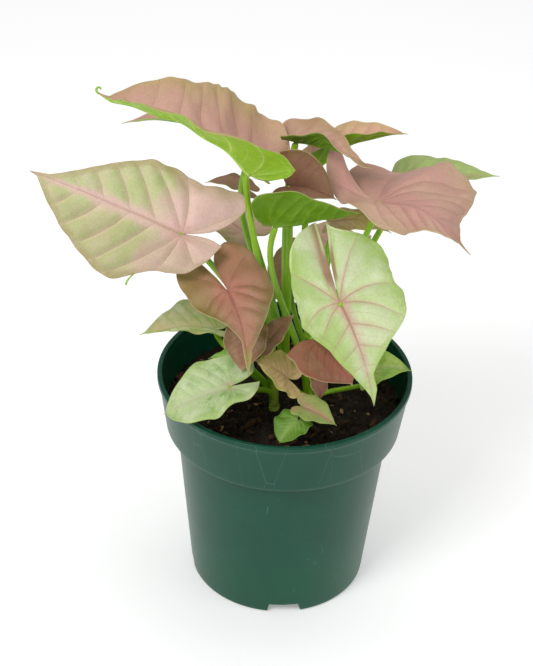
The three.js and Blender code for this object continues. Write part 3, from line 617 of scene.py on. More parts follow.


# ------------------------------------------------------------------ blade finish
# Looks of the blades; colours are hex digits. heart: by the stalk and midrib (out to `reach`
# millimetres, and all across up to the `blush` range of the length); body: the middle; edge: towards
# the margin over the `zone` range and, by `band`, outside the collective vein; tip: over the `tip_at`
# range of the length; speckle: clouds, by `patches`; rim: the outermost line. vein is the soft colour
# about the laterals, by `halo`, and line the crisp one, by `lines` on them and `main` on the midrib;
# under and under_vein are the underside's. panel is the painted light and shade across each raised panel
# between laterals;
# fade is how much the veins lose away from the stalk; pale is the share of whitish clouds; net is how
# dark the fine net is. spot is (colour, millimetres, share) about the stalk; lee is (colour, share,
# from, to) across the blade, in millimetres to the left of the midrib; fold is (colour, x, slope,
# width) for a strip of painted shade along the inner edge of the right lobe, behind x.
BLADE_LOOK = dict(
    heart="CD9B8E", body="CB9E8C", edge="BCA274", tip="BE9E7A", rim="CDBE8C", vein="BE8C7E",
    line="A86E64", speckle="C0AC86", under="88B21E", under_vein="B0CE5A", patches=0.25, reach=12,
    blush=(-0.3, 0.15), zone=(0.55, 1.05), band=0.4, tip_at=(0.72, 1), halo=0.3, lines=0.16, main=0.42,
    fade=0.6, panel=0.08, pale=0, net=0.08,
)
GREENISH = dict(
    heart="C8BE96", body="C6D09C", edge="B4C87E", tip="BACC88", rim="ACC06E", vein="ACBE74",
    line="A0AA68", speckle="A0C068", patches=0.6, reach=6, blush=(-0.3, 0.05), halo=0.4, lines=0.16,
)
LIME = dict(
    heart="B0CC70", body="8EBA4C", edge="74A83A", tip="7EB03E", rim="A0C65C", vein="B0CE78",
    line="BAD480", speckle="72A838", under="8CBE46", patches=0.5, reach=3, blush=(-0.3, 0), halo=0.4,
    lines=0.25,
)
BLADE_LOOKS = {
    "leaf_top_left": dict(heart="C89C8C", body="C69886", edge="BAA070", tip="B89274", rim="BEB078",
        vein="B88876", under="8EBC14", under_vein="C4DE6E", zone=(0.35, 0.95), halo=0.2, lines=0.12),
    "leaf_top_left_lower": dict(body="BE9280", edge="B09669", tip="B68E74"),
    "leaf_left_broad": dict(heart="E8C0BC", body="CCC69C", edge="B2A474", tip="BEB67E", rim="B48E72",
        vein="D8BEA8", line="C09282", speckle="B6C682", patches=0.6, reach=6, blush=(0.1, 0.26),
        zone=(0.78, 1.05), band=0.5, halo=0.5, lines=0.24, main=0.55, fade=0.3, panel=0.24,
        spot=("C46C76", 7, 0.55), lee=("B0A676", 0.4, 0, 9)),
    "leaf_front_left": dict(heart="B27E66", body="B08266", edge="847042", tip="9C9C46", vein="AC6860",
        line="964C4A", speckle="967654", patches=0.5, zone=(0.45, 1.05), tip_at=(0.6, 0.85), halo=0.2,
        lines=0.1, main=0.5, fade=0.85, panel=0.16, spot=("C87C6A", 10, 0.5),
        lee=("9C8646", 0.55, -3, -14)),
    "leaf_rim_left": dict(GREENISH, heart="DEC4A0", body="D8CCA4", edge="BCBC7A", speckle="A6BE68",
        lines=0.08, pale=0.6),
    "leaf_low_left": dict(GREENISH, heart="C4CEA0", body="C4D69E", edge="B0CA78", vein="CED8AE",
        line="CED6A8", speckle="7AAC42", patches=0.8, reach=3, lines=0.05, main=0.35, pale=0.45,
        spot=("BA5C60", 3.5, 0.6)),
    "leaf_front_right": dict(GREENISH, heart="CEBEA0", body="CEDAAA", edge="B0CA74", tip="B6CC7E",
        rim="96BA54", vein="CEAC94", line="AC7462", speckle="B2CE7A", patches=0.5, reach=5,
        blush=(-2, -1), zone=(0.6, 1.05), halo=0.5, lines=0.55, main=0.75, fade=0.8, panel=0.16, pale=0.3,
        spot=("C8927C", 7, 0.45), lee=("A4C064", 0.6, -1, -9), fold=("966C54", -0.12, 13, 7)),
    "leaf_right_broad": dict(heart="C69488", body="C49788", edge="BEA082", tip="A47E58", vein="BC8A80",
        line="AC706A", zone=(0.7, 1.1), halo=0.2, lines=0.12, panel=0.12),
    "leaf_top_center": dict(heart="C49886", body="B89078", edge="B0926A", tip="926E52", under="547A04",
        under_vein="789C1E", lines=0.15),
    "leaf_top_right": dict(heart="D6A68A", body="D4A888", edge="C6A878", tip="BA9676", under="7CA610",
        under_vein="96BE32", lines=0.12),
    "leaf_right_back": dict(GREENISH, heart="ACAA70", body="AAB074", edge="A0B26A", tip="AAC076",
        lines=0.2),
    # Painted shade: these dark browns stand for the shade this blade lies in under the top blades.
    "leaf_center": dict(heart="865E44", body="825C3E", edge="7C6436", tip="7E5C3C", vein="825446",
        line="784A3E"),
    "leaf_center_under": dict(heart="AA8C64", body="969650", edge="8CA046", under="628E02",
        under_vein="7CA41E"),
    "leaf_back_left_small": dict(heart="A57664", body="9C725C", edge="886E4C"),
    # Painted light: pale colours raised to make up for the shade this blade lies in under the right broad
    # blade.
    "leaf_right_under": dict(heart="F6C4A6", body="F2C49E", edge="D6B882", tip="BEA070"),
    # Painted light: pale colours raised to make up for the shadow of the front left blade on this one.
    "leaf_low_olive": dict(heart="F6CA9A", body="F4D092", edge="DCC872", tip="C8B86E", line="B47E62"),
    "leaf_low_red": dict(heart="B4705C", body="A86E58", edge="965E46", tip="926448", vein="9C544A",
        line="8C403E", reach=8, lines=0.4),
    "leaf_low_bud": dict(heart="8E5A46", body="86563C", edge="886242", tip="866040", reach=4),
    "leaf_low_front": dict(GREENISH, heart="C4987A", body="AAB470", edge="96AE58", tip="96B258",
        vein="C4967C", speckle="92B056", reach=3, lines=0.3),
    "leaf_round_front": dict(LIME, heart="92B64E", body="6C962A", edge="5C8A20"),
    # Painted light: pale colours raised to make up for the shadow of the front right blade on this one.
    "leaf_rim_right": dict(LIME, heart="E2F0A0", body="DEF288", edge="C4E26A", speckle="9CCC56",
        patches=0.7),
    "leaf_inner_right": dict(heart="A0765C", body="967A58", edge="88764C", reach=5),
    "leaf_inner_small": dict(heart="A6745A", body="A07258", edge="92764C", reach=5),
    "leaf_inner_left": dict(heart="96664E", body="94664C", edge="886A44", reach=6),
    "leaflet_left": dict(LIME, body="86B63E"),
    "leaf_inner_back": dict(heart="A0725A", body="9E745A", edge="8E784E"),
    "leaf_back_right": dict(),
    "leaf_back_left": dict(heart="CEA696", body="C4AE88"),
    "leaf_back_low": dict(GREENISH),
}

PALE_CLOUD = "E2E6C8"
CURLED_RIM = "DEE4B0"
# Millimetres: reach of a lateral, the collective vein's distance from the margin, reach of the midrib.
SMALL_VEINS = (0.26, 1.3, 0.45)
LARGE_VEINS = (0.5, 2.8, 0.8)


def blade_finish(name, length):
    """Satin leaf skin: zones from heart to edge, cloudy patches, crisp laterals with finer ones
    between them, a collective vein inside the margin, a fine net, and a green underside."""
    look = {**BLADE_LOOK, **BLADE_LOOKS[name]}
    f = Finish(name + "_skin")
    at = f.place()
    across, along, rib, margin, spacing, phase, aside = (f.value(key) for key in (
        "across", "along", "rib", "margin", "spacing", "phase", "aside"))
    upper = f.value("upper").step(0.35, 0.65)
    cloud = f.noise(at, 13, 4, 0.6)
    fine = f.noise(at, 2.2, 5, 0.65)
    grain = f.noise(at, 0.5, 2, 0.5)
    net = f.cells(at, 1.5).fall(0.015, 0.11)
    width, collect, rib_size = SMALL_VEINS if length < SMALL_BLADE else LARGE_VEINS
    off = abs((phase + 0.5).fraction() - 0.5) * spacing
    middle = abs(phase.fraction() - 0.5) * spacing
    taper = across.step(0.0, 1.0, 1.0, 0.4)
    line = (off / (taper * width)).fall(0.05, 1.0)
    halo = (off / (taper * width * 4.5)).fall(0.1, 1.0)
    faint = (middle / (width * 0.6)).fall(0.2, 1.0) * across.fall(0.3, 0.85)
    ring = abs(margin - collect).fall(0.05, 0.45) * along.step(-0.3, 0.1)
    rib_width = along.step(0.0, 1.0, 1.0, 0.25) * rib_size
    main = (rib / rib_width).fall(0.35, 1.0) * along.step(-0.04, 0.0)
    rib_halo = (rib / (rib_width * 3)).fall(0.2, 1.0) * along.step(-0.04, 0.0)

    drift = (cloud - 0.5) * 0.6
    zone = (across + drift).step(*look["zone"])
    band = (margin + drift * 3).fall(collect - 0.7, collect + 0.5)
    reach = along.step(0, 1, 1.0, 0.35) * look["reach"]
    heart = ((rib + drift * look["reach"] * 1.4) / reach).fall(0.15, 1.1)
    blush = (along + drift * 0.5).fall(*look["blush"])
    patch = (cloud * 0.7 + fine * 0.3).step(0.44, 0.56) * look["patches"]
    top = f.mix(look["body"], look["speckle"], patch)
    top = f.mix(top, look["edge"], zone)
    top = f.mix(top, look["heart"], heart.most(blush) * 0.92)
    top = f.mix(top, look["edge"], zone * blush * 0.4)
    top = f.mix(top, look["edge"], band * (1 - blush * 0.85) * look["band"])
    if "lee" in look:
        tint, share, start, end = look["lee"]
        top = f.mix(top, tint, (aside + drift * 8).step(start, end) * share)
    if look["pale"]:
        top = f.mix(top, PALE_CLOUD, f.noise(at, 9, 2, 0.5).step(0.48, 0.66) * look["pale"])
    top = f.mix(top, look["tip"], (along + drift * 0.3).step(*look["tip_at"]) * 0.85)
    far = (along * along * length ** 2 + aside * aside) ** 0.5
    strength = 1 - far.step(0.1 * length, 0.75 * length) * look["fade"]
    if "spot" in look:
        tint, size, share = look["spot"]
        top = f.mix(top, tint, far.fall(0.3, size) * share)
    top = f.mix(top, look["vein"], halo.most(rib_halo) * strength * look["halo"])
    strong = line.most(faint * 0.4).most(ring * 0.5) * look["lines"]
    top = f.mix(top, look["line"], strong.most(main * look["main"]) * strength)
    # Painted shade: a darker strip along the inner edge of the lobe, then a pale strip along its margin for
    # a curled rim.
    if "fold" in look:
        tint, behind, slope, wide = look["fold"]
        inside = aside + along * slope + drift * 3
        painted_fold_shade = along.fall(behind - 0.15, behind) * inside.step(-wide, -0.4 * wide)
        top = f.mix(top, tint, painted_fold_shade * inside.fall(0.5, 1.5) * 0.8)
        curled = margin.fall(0.4, 1.6) * along.fall(behind - 0.45, behind - 0.3)
        top = f.mix(top, CURLED_RIM, curled * 0.8)
    # Painted light and shade: each panel between laterals goes from darker to lighter across its width, as
    # if lit across a bulge.
    painted_panel_light = ((phase.fraction() - 0.5) * rib.step(0.5, 4.0) * margin.step(collect - 1, collect + 2)
             * look["panel"])
    top = f.scaled(top, fine * 0.16 + grain * 0.08 - net * look["net"] + painted_panel_light + 0.90)
    veins = line.most(faint * 0.5).most(ring * 0.4).most(main)
    low = f.mix(look["under"], look["under_vein"], (veins * 0.7 + net * 0.2 + halo * 0.2).held())
    low = f.scaled(low, cloud * 0.5 + fine * 0.3 + 0.6)
    skin = f.mix(low, top, upper)
    skin = f.mix(skin, look["rim"], margin.fall(0.1, 0.4) * 0.5)
    relief = fine * 0.08 - line * 0.08 - main * 0.12 - net * 0.028 - faint * 0.03
    under_relief = line * 0.14 + main * 0.1 + net * 0.03 + fine * 0.04
    height = relief * upper + under_relief * (1 - upper)
    return f.shade(Base_Color=skin, Roughness=fine * 0.18 + 0.38 + upper * 0.06,
                   Normal=f.bump(height, 0.9), Specular_IOR_Level=0.42,
                   Subsurface_Weight=0.12, Subsurface_Radius=(0.9, 0.7, 0.3), Subsurface_Scale=0.6 * MM)


# ------------------------------------------------------------------ other finishes
def stalk_finish():
    """Smooth juicy stalk: yellow-green with fine lengthwise streaks, paler towards the soil."""
    f = Finish("stalk_skin")
    at = f.place(1, 1, 0.08)
    streak = f.noise(at, 0.9, 3, 0.6)
    cloud = f.noise(f.place(), 7, 3)
    along = f.value("along")
    body = f.mix("7CAC04", "A0CC1E", streak)
    body = f.mix(body, "A0BA46", along.fall(0.0, 0.22))
    body = f.mix(body, "BA965C", along.fall(0.0, 0.12) * cloud.step(0.4, 0.7) * 0.6)
    body = f.scaled(body, cloud * 0.3 + 0.85)
    return f.shade(Base_Color=body, Roughness=streak * 0.2 + 0.26, Normal=f.bump(streak * 0.12, 0.6),
                   Specular_IOR_Level=0.5, Subsurface_Weight=0.15,
                   Subsurface_Radius=(0.9, 1.0, 0.3), Subsurface_Scale=1.0 * MM)


def pot_finish():
    """Moulded green plastic: faint clouding, lengthwise drag marks, pale handling scuffs under the
    band and on the lip, dust, and hairline scratches."""
    f = Finish("pot_plastic")
    at = f.place()
    cloud = f.noise(at, 30, 4, 0.6)
    ring = f.noise(f.place(0.06, 0.06, 1.0), 1.4, 3, 0.6)
    drag = f.noise(f.place(1, 1, 0.05), 1.1, 4, 0.6)
    dust = f.noise(at, 0.6, 3, 0.7)
    up = f.node("ShaderNodeSeparateXYZ", {}, {0: at}, 2)
    scratch = f.noise(f.place(1, 1, 0.12), 1.6, 2, 0.5, 0.6).step(0.70, 0.74)
    lean = f.noise(f.place(0.25, 0.25, 1.4), 2.4, 2, 0.5, 1.2).step(0.70, 0.73)
    worn = cloud.step(0.45, 0.7)
    base = f.mix("024434", "08523E", cloud)
    # Painted light: paler green towards the foot, where light from the floor falls.
    base = f.mix(base, "165C3E", up.fall(2.0, 60.0) * 0.5)
    base = f.scaled(base, drag * 0.16 + cloud * 0.24 + 0.73)
    crease = abs(up - (BAND_BOTTOM + 0.4)).fall(0.2, 1.4) * 0.14
    lip = abs(up - (POT_HEIGHT - 2.9)).fall(0.3, 1.3) * 0.12
    base = f.mix(base, "78A08C", (crease + lip) * dust.step(0.3, 0.7))
    hair = f.cells(f.place(1, 1, 0.3), 15).fall(0.002, 0.012)
    hair = hair * dust.step(0.42, 0.6) * up.step(76, 82) * 0.16
    marks = (scratch * 0.22 + lean * 0.25) * worn + hair
    base = f.mix(base, "96B9A8", marks.held())
    base = f.mix(base, "789682", dust.step(0.66, 0.76) * 0.12)
    rough = cloud * 0.12 + ring * 0.06 + dust * 0.05 + marks * 0.4 + 0.22
    height = ring * 0.02 + drag * 0.012 + cloud * 0.25 + dust * 0.004
    return f.shade(Base_Color=base, Roughness=rough.held(), Normal=f.bump(height, 0.55),
                   Specular_IOR_Level=0.3)


def soil_finish():
    """Moist peaty soil: near-black with brown fibres and a few pale specks, rough but a little wet."""
    f = Finish("peat_soil")
    at = f.place()
    lump = f.noise(at, 3.0, 6, 0.7)
    grit = f.noise(at, 0.7, 4, 0.7)
    fibre = f.noise(f.place(0.3, 1.3, 1.0), 1.2, 4, 0.7, 1.0)
    wet = f.noise(at, 9, 3)
    body = f.mix("140D09", "3A261A", lump.step(0.35, 0.75))
    body = f.mix(body, "5C3E28", fibre.step(0.6, 0.78) * 0.5)
    body = f.mix(body, "967D60", grit.step(0.74, 0.8) * 0.7)
    return f.shade(Base_Color=body, Roughness=wet.step(0.3, 0.7, 0.55, 0.92),
                   Normal=f.bump(lump * 1.0 + grit * 0.45, 1.0), Specular_IOR_Level=0.3)


def chip_finish():
    """Bark chips: each has its own shade from dark brown to tan, with grain and dusty edges."""
    f = Finish("bark_chip")
    at = f.place()
    shade = f.value("shade")
    grain = f.noise(f.place(1, 0.35, 1), 0.6, 4, 0.6)
    body = f.mix("1E130D", "583A24", shade.step(0.2, 0.9))
    body = f.mix(body, "B28A62", shade.step(0.86, 0.96))
    body = f.scaled(body, grain * 0.9 + 0.5)
    return f.shade(Base_Color=body, Roughness=grain * 0.25 + 0.65,
                   Normal=f.bump(grain * 0.4 + f.noise(at, 1.5) * 0.2, 0.9), Specular_IOR_Level=0.25)


# ------------------------------------------------------------------ pot
POT_SIDES = 192
NOTCH_FADE = 12.0


def rounded(corners, steps):
    """A line through corners (r, z, radius): each corner is cut back by its radius along both sides
    and joined by a quadratic curve (1-t)^2 a + 2t(1-t) corner + t^2 b."""
    spots = np.array([c[:2] for c in corners], float)
    path = [spots[:1]]
    t = np.linspace(0, 1, steps)[:, None]
    for before, corner, after, (_, _, cut) in zip(spots, spots[1:], spots[2:], corners[1:-1]):
        a = corner + unit(before - corner) * cut
        b = corner + unit(after - corner) * cut
        path.append((1 - t) ** 2 * a + 2 * t * (1 - t) * corner + t ** 2 * b)
    path.append(spots[-1:])
    return np.concatenate(path)


def resampled(path, gap):
    """The same line with extra points wherever two neighbours are further apart than `gap`."""
    pieces = [path[:1]]
    for a, b in zip(path, path[1:]):
        parts = max(1, int(math.ceil(np.linalg.norm(b - a) / gap)))
        pieces.append(a + (b - a) * (np.arange(1, parts + 1) / parts)[:, None])
    return np.concatenate(pieces)


def make_pot():
    """A lathe: profile (r, z) turned about the axis. Over each notch the foot is raised by
    notch (1 - z / NOTCH_FADE), and the wall's radius follows its slope."""
    profile = resampled(rounded([
        (0.6, 0, 0), (NOTCH_INSET - 2, 0, 0.5), (BASE_RADIUS, 0, 1.5), (NECK_RADIUS, BAND_BOTTOM - 0.6, 0.5),
        (BAND_RADIUS - 0.2, BAND_BOTTOM + 0.1, 0.7), (RIM_RADIUS - 0.75, POT_HEIGHT - 2.9, 0.35),
        (RIM_RADIUS, POT_HEIGHT - 2.3, 0.4), (RIM_RADIUS, POT_HEIGHT, 0.75),
        (RIM_INSIDE, POT_HEIGHT, 0.75), (BAND_RADIUS - POT_WALL, BAND_BOTTOM + 1.6, 0.5),
        (NECK_RADIUS - POT_WALL, BAND_BOTTOM - 1.4, 0.8), (BASE_RADIUS - POT_WALL, POT_FLOOR, 0.9),
        (0.6, POT_FLOOR, 0),
    ], 6), 3.0)
    spread = np.linspace(0, TAU, POT_SIDES, endpoint=False)
    near = NOTCH_WIDTH / 2 + np.arange(-1.2, 1.3, 0.2)
    edges = np.concatenate([near, -near]) / BASE_RADIUS
    spots = math.radians(NOTCH_TURN) - TAU / 4 + TAU / NOTCH_COUNT * np.arange(NOTCH_COUNT)
    turns = np.sort(np.concatenate([spread, (spots[:, None] + edges).ravel()]) % TAU)
    turns = turns[np.concatenate([[True], np.diff(turns) > 0.0012])]
    from_notch = np.abs(np.angle(np.exp(1j * (turns[:, None] - spots)))).min(1) * BASE_RADIUS
    raised = NOTCH_HEIGHT * smooth((NOTCH_WIDTH / 2 + 0.45 - from_notch) / 0.9)
    r, z = (np.broadcast_to(profile[:, k], (len(turns), len(profile))) for k in (0, 1))
    share = smooth((r - NOTCH_INSET + 1.2) / 1.2)
    lift = raised[:, None] * share * np.clip(1 - z / NOTCH_FADE, 0, 1)
    out = r + lift * WALL_SLOPE * smooth((r - BASE_RADIUS + 3) / 1.5)
    sag = 0.12 * np.sin(3 * turns[:, None] + 0.8) * smooth((z - 60) / 40)
    out, z = out + sag, z + lift
    points = np.stack([out * np.cos(turns)[:, None], out * np.sin(turns)[:, None], z], -1).reshape(-1, 3)
    points = np.concatenate([points, [[0, 0, 0], [0, 0, POT_FLOOR]]])
    index = np.arange(r.size).reshape(r.shape)
    wrapped = np.concatenate([index, index[:1]])
    faces = [lattice(wrapped), fan(r.size, wrapped[:, 0])[:, ::-1], fan(r.size + 1, wrapped[:, -1])]
    settle(add_mesh("nursery_pot", points, faces), "pot", "pot", pot_finish())


# ------------------------------------------------------------------ soil
SOIL_SIDES = 288
SOIL_RINGS = 100
SOIL_BOTTOM = 8.6
CRUMBS = 420
CHIPS = 620
CHIP_CORNERS = 6


def soil_height(x, y):
    """Level, low mounds, clods and a crown at the stems, as in the frame."""
    mounds = 1.1 * np.sin(0.11 * x + 1.3) * np.cos(0.13 * y - 0.4)
    clods = 0.7 * np.sin(0.61 * x + 0.5 * y) * np.sin(0.57 * y - 0.33 * x + 1.1)
    return SOIL_LEVEL + mounds + clods + 2.2 * np.exp(-(x * x + y * y) / 500)


def crumbs(x, y):
    """Soft seeded domes h sqrt(1 - d^2/r^2) of many sizes, the highest one at each place, over two
    sizes of uneven noise."""
    draw = np.random.default_rng(21)
    high = np.zeros_like(x)
    for _ in range(CRUMBS):
        reach, angle = 50 * math.sqrt(draw.random()), TAU * draw.random()
        radius = 0.9 + 2.6 * draw.random() ** 2
        d = (x - reach * math.cos(angle)) ** 2 + (y - reach * math.sin(angle)) ** 2
        high = np.maximum(high, 0.62 * radius * np.sqrt(np.clip(1 - d / radius ** 2, 0, 1)))
    return high + 0.35 * waves(x, y, 2.4, 5) + 0.22 * waves(x, y, 1.1, 6) - 0.6


def make_soil():
    """A closed body: a polar grid of the crumbly top, a side that follows the pot's inner wall, and a
    flat bottom above the floor."""
    angle = np.arange(SOIL_SIDES) * TAU / SOIL_SIDES
    level = SOIL_LEVEL - BAND_BOTTOM - 1.6
    wall = BAND_RADIUS - POT_WALL + level * (RIM_INSIDE - BAND_RADIUS + POT_WALL) / (
        POT_HEIGHT - BAND_BOTTOM - 1.6) + 0.25
    radius = wall * (np.arange(1, SOIL_RINGS + 1) / SOIL_RINGS) ** 0.85
    x, y = radius[:, None] * np.cos(angle), radius[:, None] * np.sin(angle)
    z = soil_height(x, y) + crumbs(x, y) * smooth((wall - radius[:, None]) / 1.5)
    under = np.array([(BAND_RADIUS - POT_WALL - 0.5, 80.6), (NECK_RADIUS - POT_WALL - 0.9, 76.0),
                      (BASE_RADIUS - POT_WALL + 0.1, 9.0), (20, SOIL_BOTTOM)])
    x = np.concatenate([x, under[:, :1] * np.cos(angle)])
    y = np.concatenate([y, under[:, :1] * np.sin(angle)])
    z = np.concatenate([z, np.broadcast_to(under[:, 1:], (len(under), SOIL_SIDES))])
    points, faces = capped(np.stack([x, y, z], -1), [0, 0, soil_height(0.0, 0.0)], [0, 0, SOIL_BOTTOM])
    faces = [table[:, ::-1] for table in faces]
    settle(add_mesh("potting_soil", points, faces), "soil", "soil", soil_finish())


def turned(points, angle, a, b):
    """Each row of points turned by its own angle, from axis a towards axis b."""
    c, s = np.cos(angle)[:, None], np.sin(angle)[:, None]
    made = points.copy()
    made[..., a] = points[..., a] * c - points[..., b] * s
    made[..., b] = points[..., a] * s + points[..., b] * c
    return made


def make_chips():
    """Bark chips and crumbs lying on the soil: six-sided slabs with cut corners, each squashed,
    turned and shaded by seeded draws. One slab is two rings of six corners and two poles."""
    draw = np.random.default_rng(8)
    ring = np.arange(CHIP_CORNERS) * TAU / CHIP_CORNERS
    rings = [np.stack([np.cos(ring) * wide, np.sin(ring) * wide, np.full(CHIP_CORNERS, high)], -1)
             for wide, high in ((1, -0.6), (0.82, 0.6))]
    shape, slab = capped(np.array(rings), [0, 0, -1.0], [0, 0, 1.0])
    reach, turn = 48.6 * np.sqrt(draw.random(CHIPS)), TAU * draw.random(CHIPS)
    x, y = reach * np.cos(turn), reach * np.sin(turn)
    size = 0.35 + 1.75 * draw.random(CHIPS) ** 2.4
    long = size[:, None] * np.stack([1 + 1.1 * draw.random(CHIPS), 0.55 + 0.4 * draw.random(CHIPS),
                                     0.22 + 0.3 * draw.random(CHIPS)], -1)
    jitter = 1 + 0.22 * draw.uniform(-1, 1, (CHIPS, len(shape), 3))
    spin, tip = TAU * draw.random(CHIPS), 0.5 * draw.normal(size=CHIPS)
    points = turned(turned(shape * jitter * long[:, None], tip, 2, 0), spin, 0, 1)
    height = soil_height(x, y) + crumbs(x, y) + long[:, 2] * 0.55
    points = points + np.stack([x, y, height], -1)[:, None]
    starts = np.arange(CHIPS)[:, None, None] * len(shape)
    faces = [(table + starts).reshape(-1, table.shape[1]) for table in slab]
    shade = np.repeat(draw.random(CHIPS), len(shape))
    piece = add_mesh("bark_chips", points.reshape(-1, 3), faces, {"shade": shade}, flat=True)
    settle(piece, None, "soil", chip_finish())


# ------------------------------------------------------------------ stems and leaf stalks
STEM_RINGS = 14
STEM_SIDES = 20
STALK_RINGS = 44
STALK_SIDES = 16


def stalk_line(leaf, stem):
    """A cubic curve from inside the stem, rising first, to the blade's underside at its stalk joint."""
    point, left, normal = (table[0] for table in midrib(leaf, np.array([0.0]))[:3])
    forward = np.cross(left, normal)
    arrive = unit(forward * leaf["arrive"][0] + normal * leaf["arrive"][1])
    tilt = math.sqrt(max(0, 1 - float(arrive @ normal) ** 2))
    finish = point - normal * (0.75 + leaf["stalk"][1] * tilt)
    begin = np.array([*stem["at"], stem["top"] - 3.0])
    reach = np.linalg.norm(begin - finish)
    leave = begin + np.array([leaf["bow"][0], leaf["bow"][1], 0.42 * reach])
    come = finish - arrive * 0.3 * reach
    t = np.linspace(0, 1, STALK_RINGS)[:, None]
    path = ((1 - t) ** 3 * begin + 3 * t * (1 - t) ** 2 * leave + 3 * t ** 2 * (1 - t) * come
            + t ** 3 * finish)
    end = point - normal * 0.25 + forward * leaf["stalk"][1] * 0.9
    return np.concatenate([path, [0.5 * (finish + end) + forward * 0.1, end]])


def make_shoot(key, stem):
    """The stem, and a stalk for each of its blades: thicker and sheathing at the stem, slim along its
    length, swollen a little under the blade and pinched to nothing where it runs into the midrib."""
    height = np.linspace(STEM_BOTTOM, stem["top"] + 1.5, STEM_RINGS)
    path = np.array([(*stem["at"], z) for z in height])
    joint = bell((height - stem["top"] + 6) / 1.4) * 0.25 + bell((height - stem["top"] + 1) / 1.2) * 0.15
    radii = np.linspace(STEM_RADIUS, STEM_RADIUS * 0.8, STEM_RINGS) + joint
    radii[-2:] *= (0.8, 0.45)
    points, faces, _ = tube(path, radii, STEM_SIDES, np.array([1.0, 0, 0]))
    parts = [(points, faces, {"along": 0.0})]
    for leaf in (row for row in LEAVES if row["stem"] == key):
        line = stalk_line(leaf, stem)
        first, last = leaf["stalk"]
        t = np.linspace(0, 1, len(line))
        radii = first + (last - first) * t
        radii = radii * (1 + 0.25 * bell(t / 0.12) + 0.14 * bell((t - 0.93) / 0.04))
        radii[-2:] = last * 0.85, last * 0.35
        chord = line[-3] - line[0]
        across = unit(np.cross(chord, [0, 0, 1.0]) if np.hypot(*chord[:2]) > 1 else np.array([1.0, 0, 0]))
        parts.append(tube(line, radii, STALK_SIDES, across, groove=0.12))
    points, faces, values = joined(parts)
    settle(add_mesh(stem["node"] + "_fine", points, faces, values), stem["node"], "stalk", stalk_skin)


# ------------------------------------------------------------------ blades and curled ends
FIRST_SEED = 40
CURL_RINGS = 28
CURL_SIDES = 10


def make_blades():
    """One piece for each row of the table, on its own seed and finish."""
    for number, leaf in enumerate(LEAVES):
        points, faces, values = blade(leaf, FIRST_SEED + number)
        piece = add_mesh(leaf["name"] + "_blade", points, faces, values)
        settle(piece, leaf["name"], "leaf_" + leaf["color"], blade_finish(leaf["name"], span(leaf)))


def curl(start, ahead, up, length, turn, first, last):
    """A tapered tube on a flat spiral: at share t it heads along ahead cos(a) + up sin(a), where
    a = turn t^1.5."""
    ahead, up = unit(np.array(ahead)), unit(np.array(up))
    t = np.linspace(0, 1, CURL_RINGS)
    a = (turn * t ** 1.5)[:, None]
    heading = np.cos(a) * ahead + np.sin(a) * up
    steps = (heading[:-1] + heading[1:]) * length / (2 * (CURL_RINGS - 1))
    path = start + np.concatenate([np.zeros((1, 3)), np.cumsum(steps, 0)])
    return tube(path, first + (last - first) * t, CURL_SIDES, np.cross(ahead, up))


def make_curls():
    """The curled end of the top leaf's tip, and a hooked shred on the broad leaf's lower margin."""
    rows = {leaf["name"]: leaf for leaf in LEAVES}
    top, broad = rows["leaf_top_left"], rows["leaf_left_broad"]
    tip = blade_point(top, 0, np.array([0.975]), np.array([0.0]))[0]
    x, _, outer = outline(broad, 0, np.array([0.16]))
    edge = blade_point(broad, 0, x, outer * 0.985)[0]
    parts = [curl(tip, (-0.88, 0.26, 0.39), (0.47, 0.49, 0.73), 4.6, 4.2, 0.5, 0.34),
             curl(edge, (-0.8, -0.34, -0.5), (0.6, -0.45, -0.66), 5.6, 0.8, 0.28, 0.42)]
    points, faces, values = joined(parts)
    settle(add_mesh("curled_ends", points, faces, values), None, "leaf_green", stalk_skin)


# ------------------------------------------------------------------ camera, lights and floor
CAMERA_ELEVATION = math.radians(34)
CAMERA_ROLL = math.radians(2.06)
CAMERA_AWAY = 734.0
CAMERA_TOWARDS = (-8.3, 0, 121.3)
CAMERA_LENS = 95.135
CAMERA_SENSOR = 36
FLOOR_HALF = 3000.0
FLOOR_GLOW = 0.27
SURROUND = 0.39
# A light is its place and width in metres and its power in watts.
LIGHTS = {
    "key_light": ((-0.55, -0.75, 1.15), 0.5, 8.5),
    "fill_light": ((0.95, -0.45, 0.75), 0.7, 2.0),
    "top_light": ((0.1, 0.35, 1.3), 0.9, 4),
}
LIT_POINT = Vector((0, 0, 0.13))


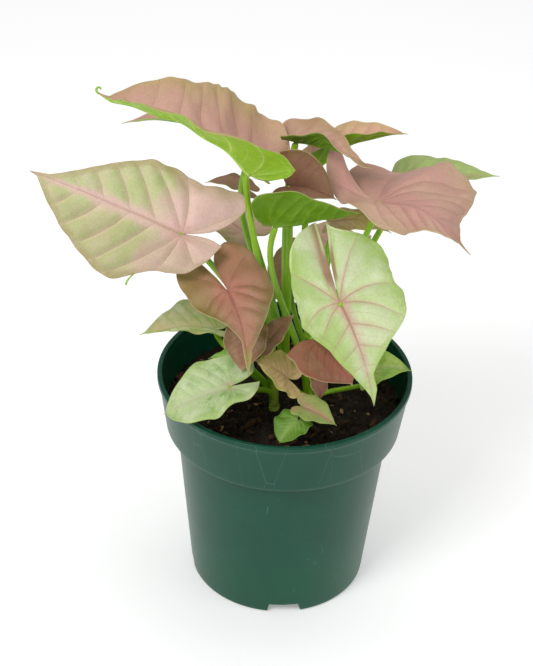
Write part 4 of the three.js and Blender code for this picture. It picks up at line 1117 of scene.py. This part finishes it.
def make_camera():
    """Looks at the target from the front, `CAMERA_ELEVATION` above level, rolled a little."""
    e, roll = CAMERA_ELEVATION, CAMERA_ROLL
    back = Vector((0, -math.cos(e), math.sin(e)))
    right, up = Vector((1, 0, 0)), Vector((0, math.sin(e), math.cos(e)))
    level = right * math.cos(roll) + up * math.sin(roll)
    upright = up * math.cos(roll) - right * math.sin(roll)
    turn = Matrix((level, upright, back)).transposed().to_4x4()
    data = bpy.data.cameras.new("studio_camera")
    data.lens = CAMERA_LENS
    data.sensor_width = CAMERA_SENSOR
    data.clip_start, data.clip_end = 0.05, 20
    place = Matrix.Translation((Vector(CAMERA_TOWARDS) + back * CAMERA_AWAY) * MM)
    bpy.context.scene.camera = put("studio_camera", data, place @ turn)


def make_light(name, at, size, power):
    """A square soft white light that faces the middle of the plant."""
    data = bpy.data.lights.new(name, "AREA")
    data.shape, data.size, data.energy = "SQUARE", size, power
    towards = LIT_POINT - Vector(at)
    put(name, data, Matrix.Translation(at) @ towards.to_track_quat("-Z", "Y").to_matrix().to_4x4())


def make_studio():
    """A pale floor, an even white surround and soft lights above, left and right."""
    white = (1, 1, 1, 1)
    f = Finish("studio_floor")
    cloud = f.noise(f.place(), 400, 3)
    f.shade(Base_Color=f.mix((0.92, 0.92, 0.92, 1), (0.95, 0.95, 0.95, 1), cloud), Roughness=0.9,
            Specular_IOR_Level=0.1, Emission_Color=white, Emission_Strength=FLOOR_GLOW)
    corners = np.array([[-1, -1, 0], [1, -1, 0], [1, 1, 0], [-1, 1, 0]]) * FLOOR_HALF
    floor = add_mesh("studio_floor", corners, [np.array([[0, 1, 2, 3]])], flat=True)
    floor.data.materials.append(f.material)
    world = bpy.data.worlds.new("studio_surround")
    world.use_nodes = True
    background = world.node_tree.nodes["Background"]
    f.feed(background.inputs["Color"], white)
    f.feed(background.inputs["Strength"], SURROUND)
    bpy.context.scene.world = world
    for name, (at, size, power) in LIGHTS.items():
        make_light(name, at, size, power)
    bpy.context.scene.view_settings.view_transform = "Standard"
    bpy.context.scene.view_settings.look = "None"


stalk_skin = stalk_finish()
make_camera()
make_studio()
make_pot()
make_soil()
make_chips()
for key, stem in STEMS.items():
    make_shoot(key, stem)
make_blades()
make_curls()
